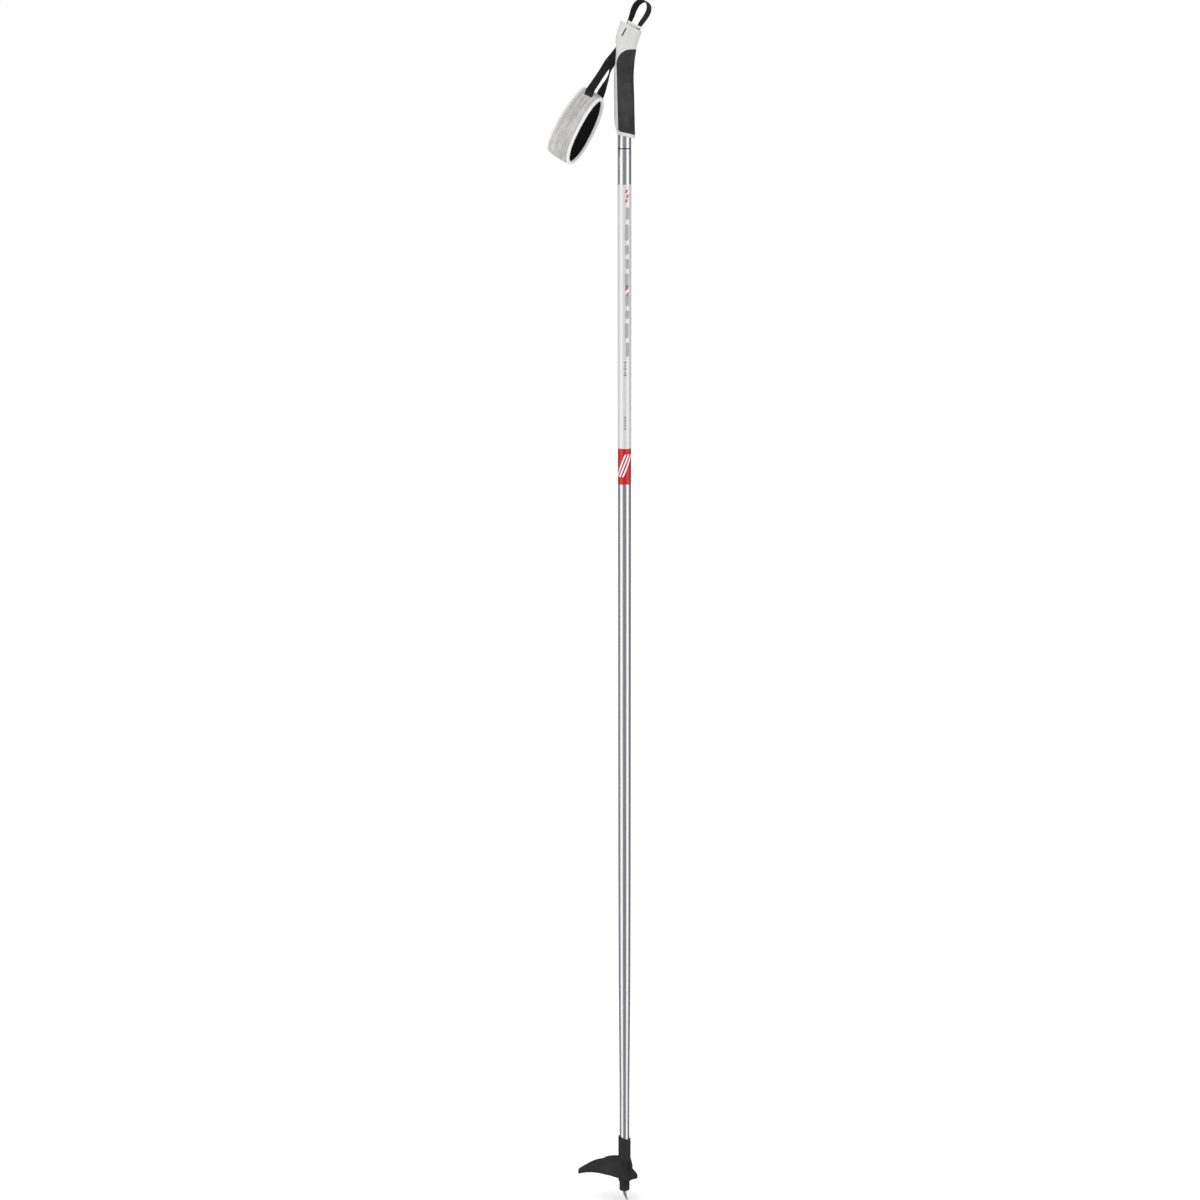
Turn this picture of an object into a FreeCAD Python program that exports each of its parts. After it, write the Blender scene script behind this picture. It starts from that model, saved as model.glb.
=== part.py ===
"""Cross-country ski pole: tubular shaft, moulded grip with strap lock, padded cuff, trail basket and spike.

Frame: millimetres, +Z up along the shaft axis, +X forward (the way the grip head leans and the spike points),
-X to the rear (strap and basket tail). The origin is on the shaft axis, level with the point of the spike.
"""
import FreeCAD, Part
import math
import os
import re
import Sketcher

Vector = FreeCAD.Vector
UP = Vector(0, 0, 1)
ACROSS = Vector(0, 1, 0)

# ---------------------------------------------------------------- driving dimensions
SIZES = [
    ("tube_radius", 8.0, "outer radius of the shaft tube where the grip sits"),
    ("tube_wall", 1.0, "wall of the shaft tube"),
    ("tube_top_z", 1398.0, "top end of the tube, inside the grip"),
    ("tube_slim_rate", 0.00044, "radius lost per millimetre below the grip"),
    ("slim_start_z", 1310.0, "where the tube starts to slim"),
    ("taper_start_z", 420.0, "where the swaged taper starts"),
    ("taper_mid_z", 290.0, "the taper's middle"),
    ("taper_mid_radius", 7.3, "tube radius at the taper's middle"),
    ("taper_end_z", 140.0, "where the tube becomes cylindrical again"),
    ("tube_tip_radius", 6.1, "tube radius inside the basket"),
    ("tube_low_z", 27.0, "lower end of the tube"),
    ("film_thick", 0.12, "thickness of the printed films"),
    ("print_top_z", 1262.0, "top of the white printed film"),
    ("band_top_z", 951.0, "top of the red band, bottom of the white film"),
    ("band_low_z", 908.0, "bottom of the red band"),
    ("fit_gap", 0.05, "radial gap of glued and pressed joints"),
    ("cut_margin", 1.0, "how far a cutting shape runs past the face it enters"),
    ("plug_length", 12.0, "length of the plug in the tube's top"),
    ("plug_rim_height", 1.5, "height of the plug's rim"),
    ("head_lean", 27.4, "forward lean of the grip head, degrees"),
    ("head_centre_x", 7.85, "centre of the head's top face"),
    ("head_centre_z", 1443.65, "centre of the head's top face"),
    ("head_half_fore", 13.8, "half the head's top face, fore and aft"),
    ("head_half_side", 12.9, "half the head's top face, across"),
    ("grip_low_z", 1300.0, "below the grip, where its inner cuts start"),
    ("seat_height", 138.0, "height of the hard core under the insert"),
    ("insert_seat_radius", 9.7, "radius of the hard core under the soft insert"),
    ("insert_seat_width", 12.6, "width of the hard core's spine between the insert's rear edges"),
    ("insert_front_x", 25.0, "beyond the front of the grip"),
    ("insert_top_z", 1417.4, "upper edge of the soft insert"),
    ("insert_rear_top_x", -10.0, "rear edge of the insert, at its top"),
    ("insert_rear_low_x", -7.6, "rear edge of the insert, at its foot"),
    ("insert_low_rear_z", 1323.4, "lower edge of the insert, at the rear"),
    ("insert_low_front_z", 1315.6, "lower edge of the insert, ahead of the grip"),
    ("insert_top_round", 17.0, "rounding of the insert's upper rear corner"),
    ("insert_low_round", 4.0, "rounding of the insert's lower rear corner"),
    ("lock_offset", 2.05, "strap lock's centre, forward of the head's centre along its top face"),
    ("cavity_length", 14.6, "strap lock cavity, fore and aft"),
    ("cavity_width", 11.6, "strap lock cavity, across"),
    ("cavity_depth", 26.5, "strap lock cavity, down from the top face"),
    ("strap_slot_top_z", 1424.0, "top of the strap slot in the rear of the grip"),
    ("strap_slot_low_z", 1399.3, "bottom of the strap slot"),
    ("strap_slot_width", 8.0, "width of the strap slot"),
    ("strap_slot_end_x", 2.0, "inner end of the strap slot"),
    ("window_length", 10.3, "snap window in the head's sides, along the head"),
    ("window_width", 1.5, "snap window, fore and aft"),
    ("window_offset", -4.25, "snap window, from the head's centre"),
    ("window_depth", 4.8, "snap window's upper end, below the top face"),
    ("plate_length", 18.4, "wedge plate, fore and aft"),
    ("plate_centre", 3.3, "wedge plate's centre, forward of the head's centre"),
    ("plate_width", 17.0, "wedge plate, across"),
    ("plate_thick", 4.1, "wedge plate's thickness"),
    ("plate_lip", 2.0, "rise of the finger lip under the plate's front"),
    ("plate_lip_length", 9.0, "length of the finger lip"),
    ("seat_gap", 0.1, "gap under the wedge plate"),
    ("blade_thick", 4.0, "wedge blade, across"),
    ("blade_top_length", 12.0, "wedge blade's top, fore and aft"),
    ("blade_low_length", 9.0, "wedge blade's foot, fore and aft"),
    ("blade_depth", 21.0, "wedge blade, down from the plate"),
    ("webbing_width", 10.0, "width of the strap webbing"),
    ("webbing_thick", 1.2, "thickness of the strap webbing"),
    ("loop_half_gap", 6.8, "pull loop, half the distance between its strands"),
    ("loop_height", 25.6, "pull loop, straight height above the head's top face"),
    ("loop_foot", 0.2, "pull loop, height of its sewn ends above the head's top face"),
    ("tape_end_depth", 6.0, "end of the tapes in the lock cavity, below the head's top face"),
    ("loop_twist", -24.0, "turn of the pull loop about the head's axis, degrees"),
    ("loop_slot_gap", 0.3, "gap around the loop's strands in the wedge plate"),
    ("mouth_x", -12.2, "where the strap leaves the grip"),
    ("mouth_z", 1408.6, "middle of the strap where it leaves the grip"),
    ("tape_side", 2.8, "distance of each strap tape from the middle plane"),
    ("tape_drop", 53.6, "angle of the strap below the horizontal, degrees"),
    ("tail_gap", 1.2, "gap between the grip and the tape outside it"),
    ("tail_length", 9.0, "tape from the mouth to its free end"),
    ("bend_x", -20.5, "point about which the strap swings"),
    ("bend_z", 1397.1, "point about which the strap swings"),
    ("cuff_x", -56.0, "middle of the wrist cuff"),
    ("cuff_z", 1330.0, "middle of the wrist cuff"),
    ("cuff_half_long", 43.0, "half the cuff's long outer axis"),
    ("cuff_half_short", 26.0, "half the cuff's short outer axis"),
    ("cuff_band", 26.0, "width of the cuff's band between its bindings"),
    ("cuff_fabric", 1.0, "thickness of the outer fabric"),
    ("cuff_foam", 2.4, "thickness of the foam pad"),
    ("cuff_lining", 0.8, "thickness of the lining"),
    ("binding_height", 1.6, "height of the edge binding"),
    ("binding_proud", 0.3, "how far the binding stands out from the cuff's faces"),
    ("patch_length", 10.0, "sewn end of each tape on the cuff"),
    ("patch_gap", 0.1, "gap under the sewn ends"),
    ("near_patch_angle", 17.0, "middle of the near sewn end, round the cuff, degrees"),
    ("near_patch_along", 0.5, "near sewn end, forward of the cuff's middle"),
    ("far_patch_angle", -33.0, "middle of the far sewn end, round the cuff, degrees"),
    ("far_patch_along", 5.0, "far sewn end, forward of the cuff's middle"),
    ("tape_turn", 8.0, "turn round the cuff from a tape's landing to its sewn end, degrees"),
    ("tape_lift", 4.5, "height of a tape above the cuff where it lands"),
    ("tape_start", 0.3, "gap between the strap's bend and the swinging tapes"),
    ("tape_share", 0.84, "how much of the way from the bend to the cuff the tapes cover"),
    ("sleeve_radius", 7.8, "outer radius of the basket's sleeve"),
    ("sleeve_top_rear_z", 84.5, "sleeve's slanted top, at the rear"),
    ("sleeve_top_front_z", 80.7, "sleeve's slanted top, at the front"),
    ("sleeve_low_z", 26.0, "sleeve's lower end"),
    ("nose_radius", 6.4, "radius of the ferrule's nose, where a tip guard seats"),
    ("nose_low_z", 14.0, "face of the ferrule"),
    ("nose_top_z", 24.0, "top of the ferrule's nose"),
    ("ferrule_flange_radius", 7.0, "radius of the ferrule's flange"),
    ("flange_edge", 0.5, "height of the flange's edge"),
    ("spigot_top_z", 60.0, "top of the ferrule's spigot in the tube"),
    ("spike_radius", 2.2, "radius of the spike's shank"),
    ("spike_top_z", 34.0, "top of the spike's shank"),
    ("spike_tip_radius", 0.8, "radius of the spike's blunt point"),
    ("spike_reach", 3.6, "how far forward the spike bends"),
    ("spike_set_in", 1.0, "straight shank left below the ferrule's face"),
    ("spike_point_z", 0.24, "middle of the spike's blunt end"),
]
# Oval sections of the moulded parts, from the bottom up: middle x, height, half length, half width, lean.
SECTIONS = {
    "grip": [
        (2.25, 1317.4, 10.3, 10.2, 12.1),
        (0.35, 1330.0, 11.6, 11.0, 5.0),
        (-0.35, 1358.0, 11.7, 11.3, 0.0),
        (-0.75, 1390.0, 11.4, 11.2, 0.0),
        (0.9, 1411.0, 11.6, 11.6, 8.0),
        (2.6, 1427.5, 13.2, 12.5, 19.0),
    ],
    "bell_outside": [
        (-3.0, 35.4, 18.9, 26.0, 10.0),
        (-3.0, 46.0, 11.5, 16.0, 6.0),
        (0.0, 56.0, 7.0, 7.0, 0.0),
    ],
    "bell_inside": [
        (-3.0, 31.4, 19.4, 27.4, 10.0),
        (-3.0, 44.2, 9.8, 14.3, 6.0),
        (0.0, 53.0, 5.5, 5.4, 0.0),
    ],
    "tail_outside": [
        (-28.8, 36.4, 28.8, 9.0, 0.0),
        (-28.4, 41.0, 28.4, 8.6, 0.0),
        (-23.6, 47.6, 23.6, 6.8, 0.0),
        (-16.6, 53.6, 16.6, 5.2, 0.0),
        (-9.0, 58.6, 9.0, 3.4, 0.0),
    ],
    "tail_inside": [
        (-28.6, 35.4, 27.0, 7.2, 0.0),
        (-27.4, 40.0, 25.8, 6.8, 0.0),
        (-22.0, 46.0, 20.6, 5.0, 0.0),
        (-14.0, 51.6, 13.0, 3.0, 0.0),
    ],
}
SECTION_SIZES = ("middle", "height", "fore", "side", "lean")
for shape_name, rows in SECTIONS.items():
    for level, numbers in enumerate(rows):
        for what, value in zip(SECTION_SIZES, numbers):
            alias = "%s_%d_%s" % (shape_name, level, what)
            SIZES.append((alias, value, "section %d of the %s" % (level, shape_name)))
ALIASES = {alias for alias, value, meaning in SIZES}

doc = FreeCAD.newDocument("SkiPole")
sheet = doc.addObject("Spreadsheet::Sheet", "Sizes")
for row, (alias, value, meaning) in enumerate(SIZES, start=1):
    sheet.set("A%d" % row, meaning)
    sheet.set("B%d" % row, str(value))
    sheet.setAlias("B%d" % row, alias)
doc.recompute()

subparts = []


def size(alias):
    """The value of one cell of the sheet."""
    return float(sheet.get(alias))


def cells(text):
    """The expression text with each alias pointed at the sheet."""
    def point(word):
        return "Sizes." + word.group(0) if word.group(0) in ALIASES else word.group(0)

    return re.sub(r"[a-z_][a-z_0-9]*", point, text)


def bind(thing, **expressions):
    """Binds properties of an object to the sheet. A double underscore stands for a dot."""
    for prop, text in expressions.items():
        thing.setExpression(prop.replace("__", "."), cells(text))


def keep(thing, label):
    """Marks an object as a sub-part and gives it its label."""
    thing.Label = label
    subparts.append(thing)
    return thing


# ---------------------------------------------------------------- helpers for bodies and booleans
def plane_of(body, role):
    return next(feature for feature in body.Origin.OriginFeatures if feature.Role == role)


def outline(body, name, role, corners):
    """A closed outline of straight sides whose corners are pairs of sheet expressions."""
    sketch = body.newObject("Sketcher::SketchObject", name)
    sketch.AttachmentSupport = [(plane_of(body, role), "")]
    sketch.MapMode = "FlatFace"
    count = len(corners)
    start_radius = 10.0
    points = [Vector(math.cos(2 * math.pi * n / count), math.sin(2 * math.pi * n / count), 0) * start_radius
              for n in range(count)]
    for n in range(count):
        sketch.addGeometry(Part.LineSegment(points[n], points[(n + 1) % count]), False)
    for n in range(count):
        sketch.addConstraint(Sketcher.Constraint("Coincident", n, 2, (n + 1) % count, 1))
    for n, (across, along) in enumerate(corners):
        for kind, value, text in (("DistanceX", points[n].x, across), ("DistanceY", points[n].y, along)):
            index = sketch.addConstraint(Sketcher.Constraint(kind, -1, 1, n, 1, value))
            sketch.setExpression("Constraints[%d]" % index, cells(text))
    return sketch


def turned(name, corners):
    """A body of revolution about the shaft axis; corners are (radius, height)."""
    body = doc.addObject("PartDesign::Body", name)
    sketch = outline(body, name + "_profile", "XZ_Plane", corners)
    turn = body.newObject("PartDesign::Revolution", name + "_turn")
    turn.Profile = sketch
    turn.ReferenceAxis = (sketch, ["V_Axis"])
    turn.Angle = 360.0
    return body


def slab(name, corners, thick, role="XZ_Plane"):
    """A flat body of even thickness, centred on its plane."""
    body = doc.addObject("PartDesign::Body", name)
    add_slab(body, name, corners, thick, role)
    return body


def add_slab(body, name, corners, thick, role="XZ_Plane"):
    pad = body.newObject("PartDesign::Pad", name + "_pad")
    pad.Profile = outline(body, name + "_outline", role, corners)
    pad.Midplane = True
    bind(pad, Length=thick)
    return pad


def combine(kind, name, base, tool):
    made = doc.addObject(kind, name)
    made.Base = base
    made.Tool = tool
    return made


def section_cells(name):
    """The names of the cells that hold a shape's oval sections."""
    levels = range(len(SECTIONS[name]))
    return [["%s_%d_%s" % (name, level, what) for what in SECTION_SIZES] for level in levels]


def oval(name, middle, height, fore, side, lean):
    """One oval section across the pole, leaning forward; every size is the name of a cell."""
    ring = doc.addObject("Part::Ellipse", name)
    if size(fore) >= size(side):
        ring.Placement = FreeCAD.Placement(Vector(), FreeCAD.Rotation(ACROSS, 1.0))
        bind(ring, MajorRadius=fore, MinorRadius=side, Placement__Rotation__Angle=lean)
    else:
        turn = FreeCAD.Rotation(ACROSS, size(lean)).multiply(FreeCAD.Rotation(UP, 90.0))
        ring.Placement = FreeCAD.Placement(Vector(), turn)
        bind(ring, MajorRadius=side, MinorRadius=fore)
    bind(ring, Placement__Base__x=middle, Placement__Base__z=height)
    return ring


def lofted(name, sections):
    """A smooth solid through oval sections, listed from the bottom up."""
    loft = doc.addObject("Part::Loft", name)
    loft.Sections = [
        oval("%s_section_%d" % (name, level), *section) for level, section in enumerate(sections)
    ]
    loft.Solid = True
    loft.Ruled = False
    return loft


# ---------------------------------------------------------------- frames of the leaning parts
lean_angle = size("head_lean")
head_turn = FreeCAD.Rotation(ACROSS, lean_angle)
head_centre = Vector(size("head_centre_x"), 0, size("head_centre_z"))
head_place = FreeCAD.Placement(head_centre, head_turn)


def on_head(offset, twist=0.0):
    """A place on the head's top face, forward of its centre, turned about the head's own axis."""
    return head_place.multiply(FreeCAD.Placement(Vector(offset, 0, 0), FreeCAD.Rotation(UP, twist)))


# ---------------------------------------------------------------- shaft
def slim_radius(z_text):
    """Outer radius of the slightly slimming stretch of tube, at a height."""
    return "(tube_radius - tube_slim_rate * (slim_start_z - %s))" % z_text


def make_tube():
    outside = [
        ("tube_tip_radius", "tube_low_z"),
        ("tube_tip_radius", "taper_end_z"),
        ("taper_mid_radius", "taper_mid_z"),
        (slim_radius("taper_start_z"), "taper_start_z"),
        ("tube_radius", "slim_start_z"),
        ("tube_radius", "tube_top_z"),
    ]
    inside = [("%s - tube_wall" % radius, height) for radius, height in reversed(outside)]
    return keep(turned("shaft_tube", outside + inside), "shaft_tube")


def make_film(label, low_z, high_z):
    inner = [(slim_radius(low_z), low_z), (slim_radius(high_z), high_z)]
    outer = [("%s + film_thick" % radius, height) for radius, height in reversed(inner)]
    return keep(turned(label, inner + outer), label)


def make_top_plug():
    corners = [
        ("0", "tube_top_z - plug_length"),
        ("tube_radius - tube_wall - fit_gap", "tube_top_z - plug_length"),
        ("tube_radius - tube_wall - fit_gap", "tube_top_z"),
        ("tube_radius", "tube_top_z"),
        ("tube_radius", "tube_top_z + plug_rim_height"),
        ("0", "tube_top_z + plug_rim_height"),
    ]
    return keep(turned("shaft_top_plug", corners), "shaft_top_plug")


# ---------------------------------------------------------------- grip
def make_grip():
    head_top = ["head_centre_x", "head_centre_z", "head_half_fore", "head_half_side", "head_lean"]
    shell = lofted("grip_shell", section_cells("grip") + [head_top])

    region = slab("insert_region", [
        ("insert_front_x", "insert_top_z"),
        ("insert_rear_top_x", "insert_top_z"),
        ("insert_rear_low_x", "insert_low_rear_z"),
        ("insert_front_x", "insert_low_front_z"),
    ], "4 * tube_radius")
    doc.recompute()
    for name, height, radius in (("top", "insert_top_z", "insert_top_round"),
                                 ("low", "insert_low_rear_z", "insert_low_round")):
        base = region.Tip
        edges = rear_edges(base, size(height))
        rounding = region.newObject("PartDesign::Fillet", "insert_round_" + name)
        rounding.Base = (base, edges)
        bind(rounding, Radius=radius)
        doc.recompute()

    post = doc.addObject("Part::Cylinder", "insert_seat_post")
    bind(post, Radius="insert_seat_radius", Height="seat_height", Placement__Base__z="grip_low_z")
    spine = doc.addObject("Part::Box", "insert_seat_spine")
    bind(spine, Length="2 * tube_radius", Width="insert_seat_width", Height="seat_height",
         Placement__Base__x="-2 * tube_radius", Placement__Base__y="-insert_seat_width / 2",
         Placement__Base__z="grip_low_z")
    seat = doc.addObject("Part::MultiFuse", "insert_seat")
    seat.Shapes = [post, spine]
    insert_room = combine("Part::Cut", "insert_room", region, seat)
    keep(combine("Part::Common", "grip_insert", shell, insert_room), "grip_insert")

    bore = doc.addObject("Part::Cylinder", "shaft_bore")
    bind(bore, Radius="tube_radius + fit_gap", Height="tube_top_z + plug_rim_height - grip_low_z",
         Placement__Base__z="grip_low_z")
    cavity = head_box("lock_cavity", "cavity_length", "cavity_width", "cavity_depth",
                      size("lock_offset"), 0.0)
    window = head_box("snap_window", "window_width", "4 * tube_radius", "window_length",
                      size("window_offset"), size("window_depth"))
    slot = doc.addObject("Part::Box", "strap_slot")
    bind(slot, Length="strap_slot_end_x + 2 * tube_radius", Width="strap_slot_width",
         Height="strap_slot_top_z - strap_slot_low_z")
    bind(slot, Placement__Base__x="-2 * tube_radius", Placement__Base__y="-strap_slot_width / 2",
         Placement__Base__z="strap_slot_low_z")
    holes = doc.addObject("Part::MultiFuse", "grip_holes")
    holes.Shapes = [bore, cavity, window, slot]
    hard = combine("Part::Cut", "grip_hard", shell, insert_room)
    keep(combine("Part::Cut", "grip_core", hard, holes), "grip_core")


def rear_edges(feature, height):
    """The edges of the insert's outline that run across the grip at its rear, at a height."""
    found = []
    for n, edge in enumerate(feature.Shape.Edges, start=1):
        middle = edge.CenterOfMass
        along_y = abs(edge.tangentAt(edge.FirstParameter).y) > 0.99
        if along_y and abs(middle.z - height) < 0.5 and middle.x < 0:
            found.append("Edge%d" % n)
    return found


def head_box(name, length, width, depth, offset, below):
    """A box sunk into the head from its top face, or from a distance below it."""
    box = doc.addObject("Part::Box", name)
    bind(box, Length=length, Width=width, Height=depth + " + cut_margin")
    doc.recompute()
    rise = size("cut_margin") if below == 0.0 else 0.0
    corner = Vector(-box.Length.Value / 2, -box.Width.Value / 2, -below - box.Height.Value + rise)
    box.Placement = on_head(offset).multiply(FreeCAD.Placement(corner, FreeCAD.Rotation()))
    return box


# ---------------------------------------------------------------- strap lock
def loop_body(name, grow):
    """The pull loop: two straight strands joined by a half round; grow thickens it for its slots."""
    body = doc.addObject("PartDesign::Body", name)
    half_thick = size("webbing_thick") / 2 + grow
    outer = size("loop_half_gap") + half_thick
    inner = size("loop_half_gap") - half_thick
    top = size("loop_height")
    root = size("loop_foot")
    sketch = body.newObject("Sketcher::SketchObject", name + "_line")
    sketch.AttachmentSupport = [(plane_of(body, "XZ_Plane"), "")]
    sketch.MapMode = "FlatFace"
    middle = Vector(0, top, 0)
    parts = [
        Part.LineSegment(Vector(outer, root, 0), Vector(outer, top, 0)),
        Part.ArcOfCircle(Part.Circle(middle, UP, outer), 0, math.pi),
        Part.LineSegment(Vector(-outer, top, 0), Vector(-outer, root, 0)),
        Part.LineSegment(Vector(-outer, root, 0), Vector(-inner, root, 0)),
        Part.LineSegment(Vector(-inner, root, 0), Vector(-inner, top, 0)),
        Part.ArcOfCircle(Part.Circle(middle, UP, inner), 0, math.pi),
        Part.LineSegment(Vector(inner, top, 0), Vector(inner, root, 0)),
        Part.LineSegment(Vector(inner, root, 0), Vector(outer, root, 0)),
    ]
    sketch.addGeometry(parts, False)
    joins = [
        (0, 2, 1, 1), (1, 2, 2, 1), (2, 2, 3, 1), (3, 2, 4, 1),
        (4, 2, 5, 2), (5, 1, 6, 1), (6, 2, 7, 1), (7, 2, 0, 1),
    ]
    for first, first_end, second, second_end in joins:
        sketch.addConstraint(Sketcher.Constraint("Coincident", first, first_end, second, second_end))
    for line in (0, 2, 4, 6):
        sketch.addConstraint(Sketcher.Constraint("Vertical", line))
    for line in (3, 7):
        sketch.addConstraint(Sketcher.Constraint("Horizontal", line))
    sketch.addConstraint(Sketcher.Constraint("Coincident", 1, 3, 5, 3))
    sketch.addConstraint(Sketcher.Constraint("PointOnObject", 1, 3, -2))
    thicker = " + %s" % grow if grow else ""
    thinner = thicker.replace("+", "-")
    driven = [
        (Sketcher.Constraint("DistanceY", -1, 1, 1, 3, top), "loop_height"),
        (Sketcher.Constraint("Radius", 1, outer), "loop_half_gap + webbing_thick / 2" + thicker),
        (Sketcher.Constraint("Radius", 5, inner), "loop_half_gap - webbing_thick / 2" + thinner),
        (Sketcher.Constraint("DistanceY", -1, 1, 0, 1, root), "loop_foot"),
        (Sketcher.Constraint("DistanceY", 0, 2, 1, 3, 0), None),
        (Sketcher.Constraint("DistanceY", 4, 2, 5, 3, 0), None),
    ]
    for constraint, text in driven:
        index = sketch.addConstraint(constraint)
        if text:
            sketch.setExpression("Constraints[%d]" % index, cells(text))
    pad = body.newObject("PartDesign::Pad", name + "_pad")
    pad.Profile = sketch
    pad.Midplane = True
    bind(pad, Length="webbing_width" + thicker + thicker)
    body.Placement = on_head(size("lock_offset"), size("loop_twist"))
    return body


def make_wedge():
    rear = "plate_centre - plate_length / 2"
    front = "plate_centre + plate_length / 2"
    plate = slab("wedge_plate", [
        (rear, "seat_gap"),
        (front + " - plate_lip_length", "seat_gap"),
        (front, "seat_gap + plate_lip"),
        (front, "plate_thick"),
        (rear, "plate_thick"),
    ], "plate_width")
    add_slab(plate, "wedge_blade", [
        ("lock_offset - blade_low_length / 2", "-blade_depth"),
        ("lock_offset + blade_low_length / 2", "-blade_depth"),
        ("lock_offset + blade_top_length / 2", "plate_thick / 2"),
        ("lock_offset - blade_top_length / 2", "plate_thick / 2"),
    ], "blade_thick")
    plate.Placement = on_head(0)
    slots = loop_body("loop_slots", size("loop_slot_gap"))
    return keep(combine("Part::Cut", "strap_wedge", plate, slots), "strap_wedge")


# ---------------------------------------------------------------- strap webbing
drop = math.radians(size("tape_drop"))
run = Vector(-math.cos(drop), 0, -math.sin(drop))
tape_up = Vector(-math.sin(drop), 0, math.cos(drop))
mouth = Vector(size("mouth_x"), 0, size("mouth_z"))


def flat_tape(label, corners, side):
    """A flat length of webbing in an upright plane on one side of the middle (side is -1 or 1)."""
    wire = Part.makePolygon([Vector(x, 0, z) for x, z in corners + corners[:1]])
    thick = size("webbing_thick")
    made = doc.addObject("Part::Feature", label)
    made.Shape = Part.Face(wire).extrude(ACROSS * thick)
    made.Placement = FreeCAD.Placement(Vector(0, side * size("tape_side") - thick / 2, 0), FreeCAD.Rotation())
    return keep(made, label)


def edge_point(x, upper):
    """Where the tape's upper or lower edge crosses an upright line."""
    half = size("webbing_width") / 2 * (1 if upper else -1)
    start = mouth + tape_up * half
    return x, start.z + (x - start.x) * run.z / run.x


def make_tails(side, name):
    start_x = size("mouth_x") - size("tail_gap")
    half = size("webbing_width") / 2
    end = mouth + run * size("tail_length")
    outside = [
        edge_point(start_x, True),
        edge_point(start_x, False),
        ((end - tape_up * half).x, (end - tape_up * half).z),
        ((end + tape_up * half).x, (end + tape_up * half).z),
    ]
    flat_tape("strap_tail_" + name, outside, side)
    lock_foot = head_place.multVec(Vector(size("lock_offset"), 0, -size("blade_depth")))
    lock_top = head_place.multVec(Vector(size("lock_offset"), 0, -size("tape_end_depth")))
    head_along = head_turn.multVec(Vector(1, 0, 0))
    rim = size("mouth_x") + size("tail_gap") / 4
    inside = [
        edge_point(rim, True),
        edge_point(rim, False),
        ((lock_foot + head_along * half).x, (lock_foot + head_along * half).z),
        ((lock_top + head_along * half).x, (lock_top + head_along * half).z),
        ((lock_top - head_along * half).x, (lock_top - head_along * half).z),
        ((lock_foot - head_along * half).x, (lock_foot - head_along * half).z),
    ]
    flat_tape("strap_inner_" + name, inside, side)


def strip(label, stations):
    """Webbing through stations of (middle, direction of its width); each section is a thin rectangle."""
    half_width = size("webbing_width") / 2
    half_thick = size("webbing_thick") / 2
    sections = []
    for n, (middle, width_way) in enumerate(stations):
        before = stations[max(n - 1, 0)][0]
        after = stations[min(n + 1, len(stations) - 1)][0]
        along = (after - before).normalize()
        width = (width_way - along * width_way.dot(along)).normalize()
        face = along.cross(width)
        corners = [
            middle + width * half_width * across + face * half_thick * out
            for across, out in ((-1, -1), (1, -1), (1, 1), (-1, 1))
        ]
        sections.append(Part.makePolygon(corners + corners[:1]))
    made = doc.addObject("Part::Feature", label)
    made.Shape = Part.makeLoft(sections, True, True)
    return keep(made, label)


# ---------------------------------------------------------------- wrist cuff
# The cuff is an oval ring. Its own z runs through the hole, towards the front rim; its own x is the long way.
cuff_hole_way = Vector(0.795, -0.342, -0.501).normalize()
cuff_long_way = Vector(0.442, -0.239, 0.8645).normalize()
cuff_short_way = cuff_hole_way.cross(cuff_long_way).normalize()
cuff_long_way = cuff_short_way.cross(cuff_hole_way).normalize()
cuff_middle = Vector(size("cuff_x"), 0, size("cuff_z"))
cuff_turn = FreeCAD.Rotation(cuff_long_way, cuff_short_way, cuff_hole_way, "ZXY")
cuff_place = FreeCAD.Placement(cuff_middle, cuff_turn)


def oval_post(name, inset, low, high):
    """A straight oval post about the cuff's own axis."""
    ends = []
    for end, height in (("low", low), ("high", high)):
        ring = doc.addObject("Part::Ellipse", "%s_%s" % (name, end))
        bind(ring, MajorRadius="cuff_half_long - (%s)" % inset, Placement__Base__z=height)
        bind(ring, MinorRadius="cuff_half_short - (%s)" % inset)
        ends.append(ring)
    post = doc.addObject("Part::Loft", name)
    post.Sections = ends
    post.Solid = True
    post.Ruled = True
    return post


def cuff_ring(label, outer_inset, inner_inset, low, high):
    """One layer of the cuff, between two insets from its outer face."""
    outer = oval_post(label + "_outer", outer_inset, low, high)
    inner = oval_post(label + "_inner", inner_inset, low + " - cut_margin", high + " + cut_margin")
    ring = keep(combine("Part::Cut", label, outer, inner), label)
    ring.Placement = cuff_place
    return ring


def make_cuff():
    low = "-cuff_band / 2"
    high = "cuff_band / 2"
    wall = "cuff_fabric + cuff_foam + cuff_lining"
    cuff_ring("cuff_outer_fabric", "0", "cuff_fabric", low, high)
    cuff_ring("cuff_foam_pad", "cuff_fabric", "cuff_fabric + cuff_foam", low, high)
    cuff_ring("cuff_lining", "cuff_fabric + cuff_foam", wall, low, high)
    inside = wall + " + binding_proud"
    cuff_ring("cuff_binding_front", "-binding_proud", inside, high, high + " + binding_height")
    cuff_ring("cuff_binding_back", "-binding_proud", inside, low + " - binding_height", low)


def cuff_point(angle, above, along):
    """A point over the cuff's outer face (degrees round the oval, height, way along), and outwards."""
    turn = math.radians(angle)
    long_half = size("cuff_half_long")
    short_half = size("cuff_half_short")
    surface = Vector(long_half * math.cos(turn), short_half * math.sin(turn), along)
    outward = Vector(math.cos(turn) / long_half, math.sin(turn) / short_half, 0).normalize()
    return cuff_place.multVec(surface + outward * above), cuff_place.Rotation.multVec(outward)


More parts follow.
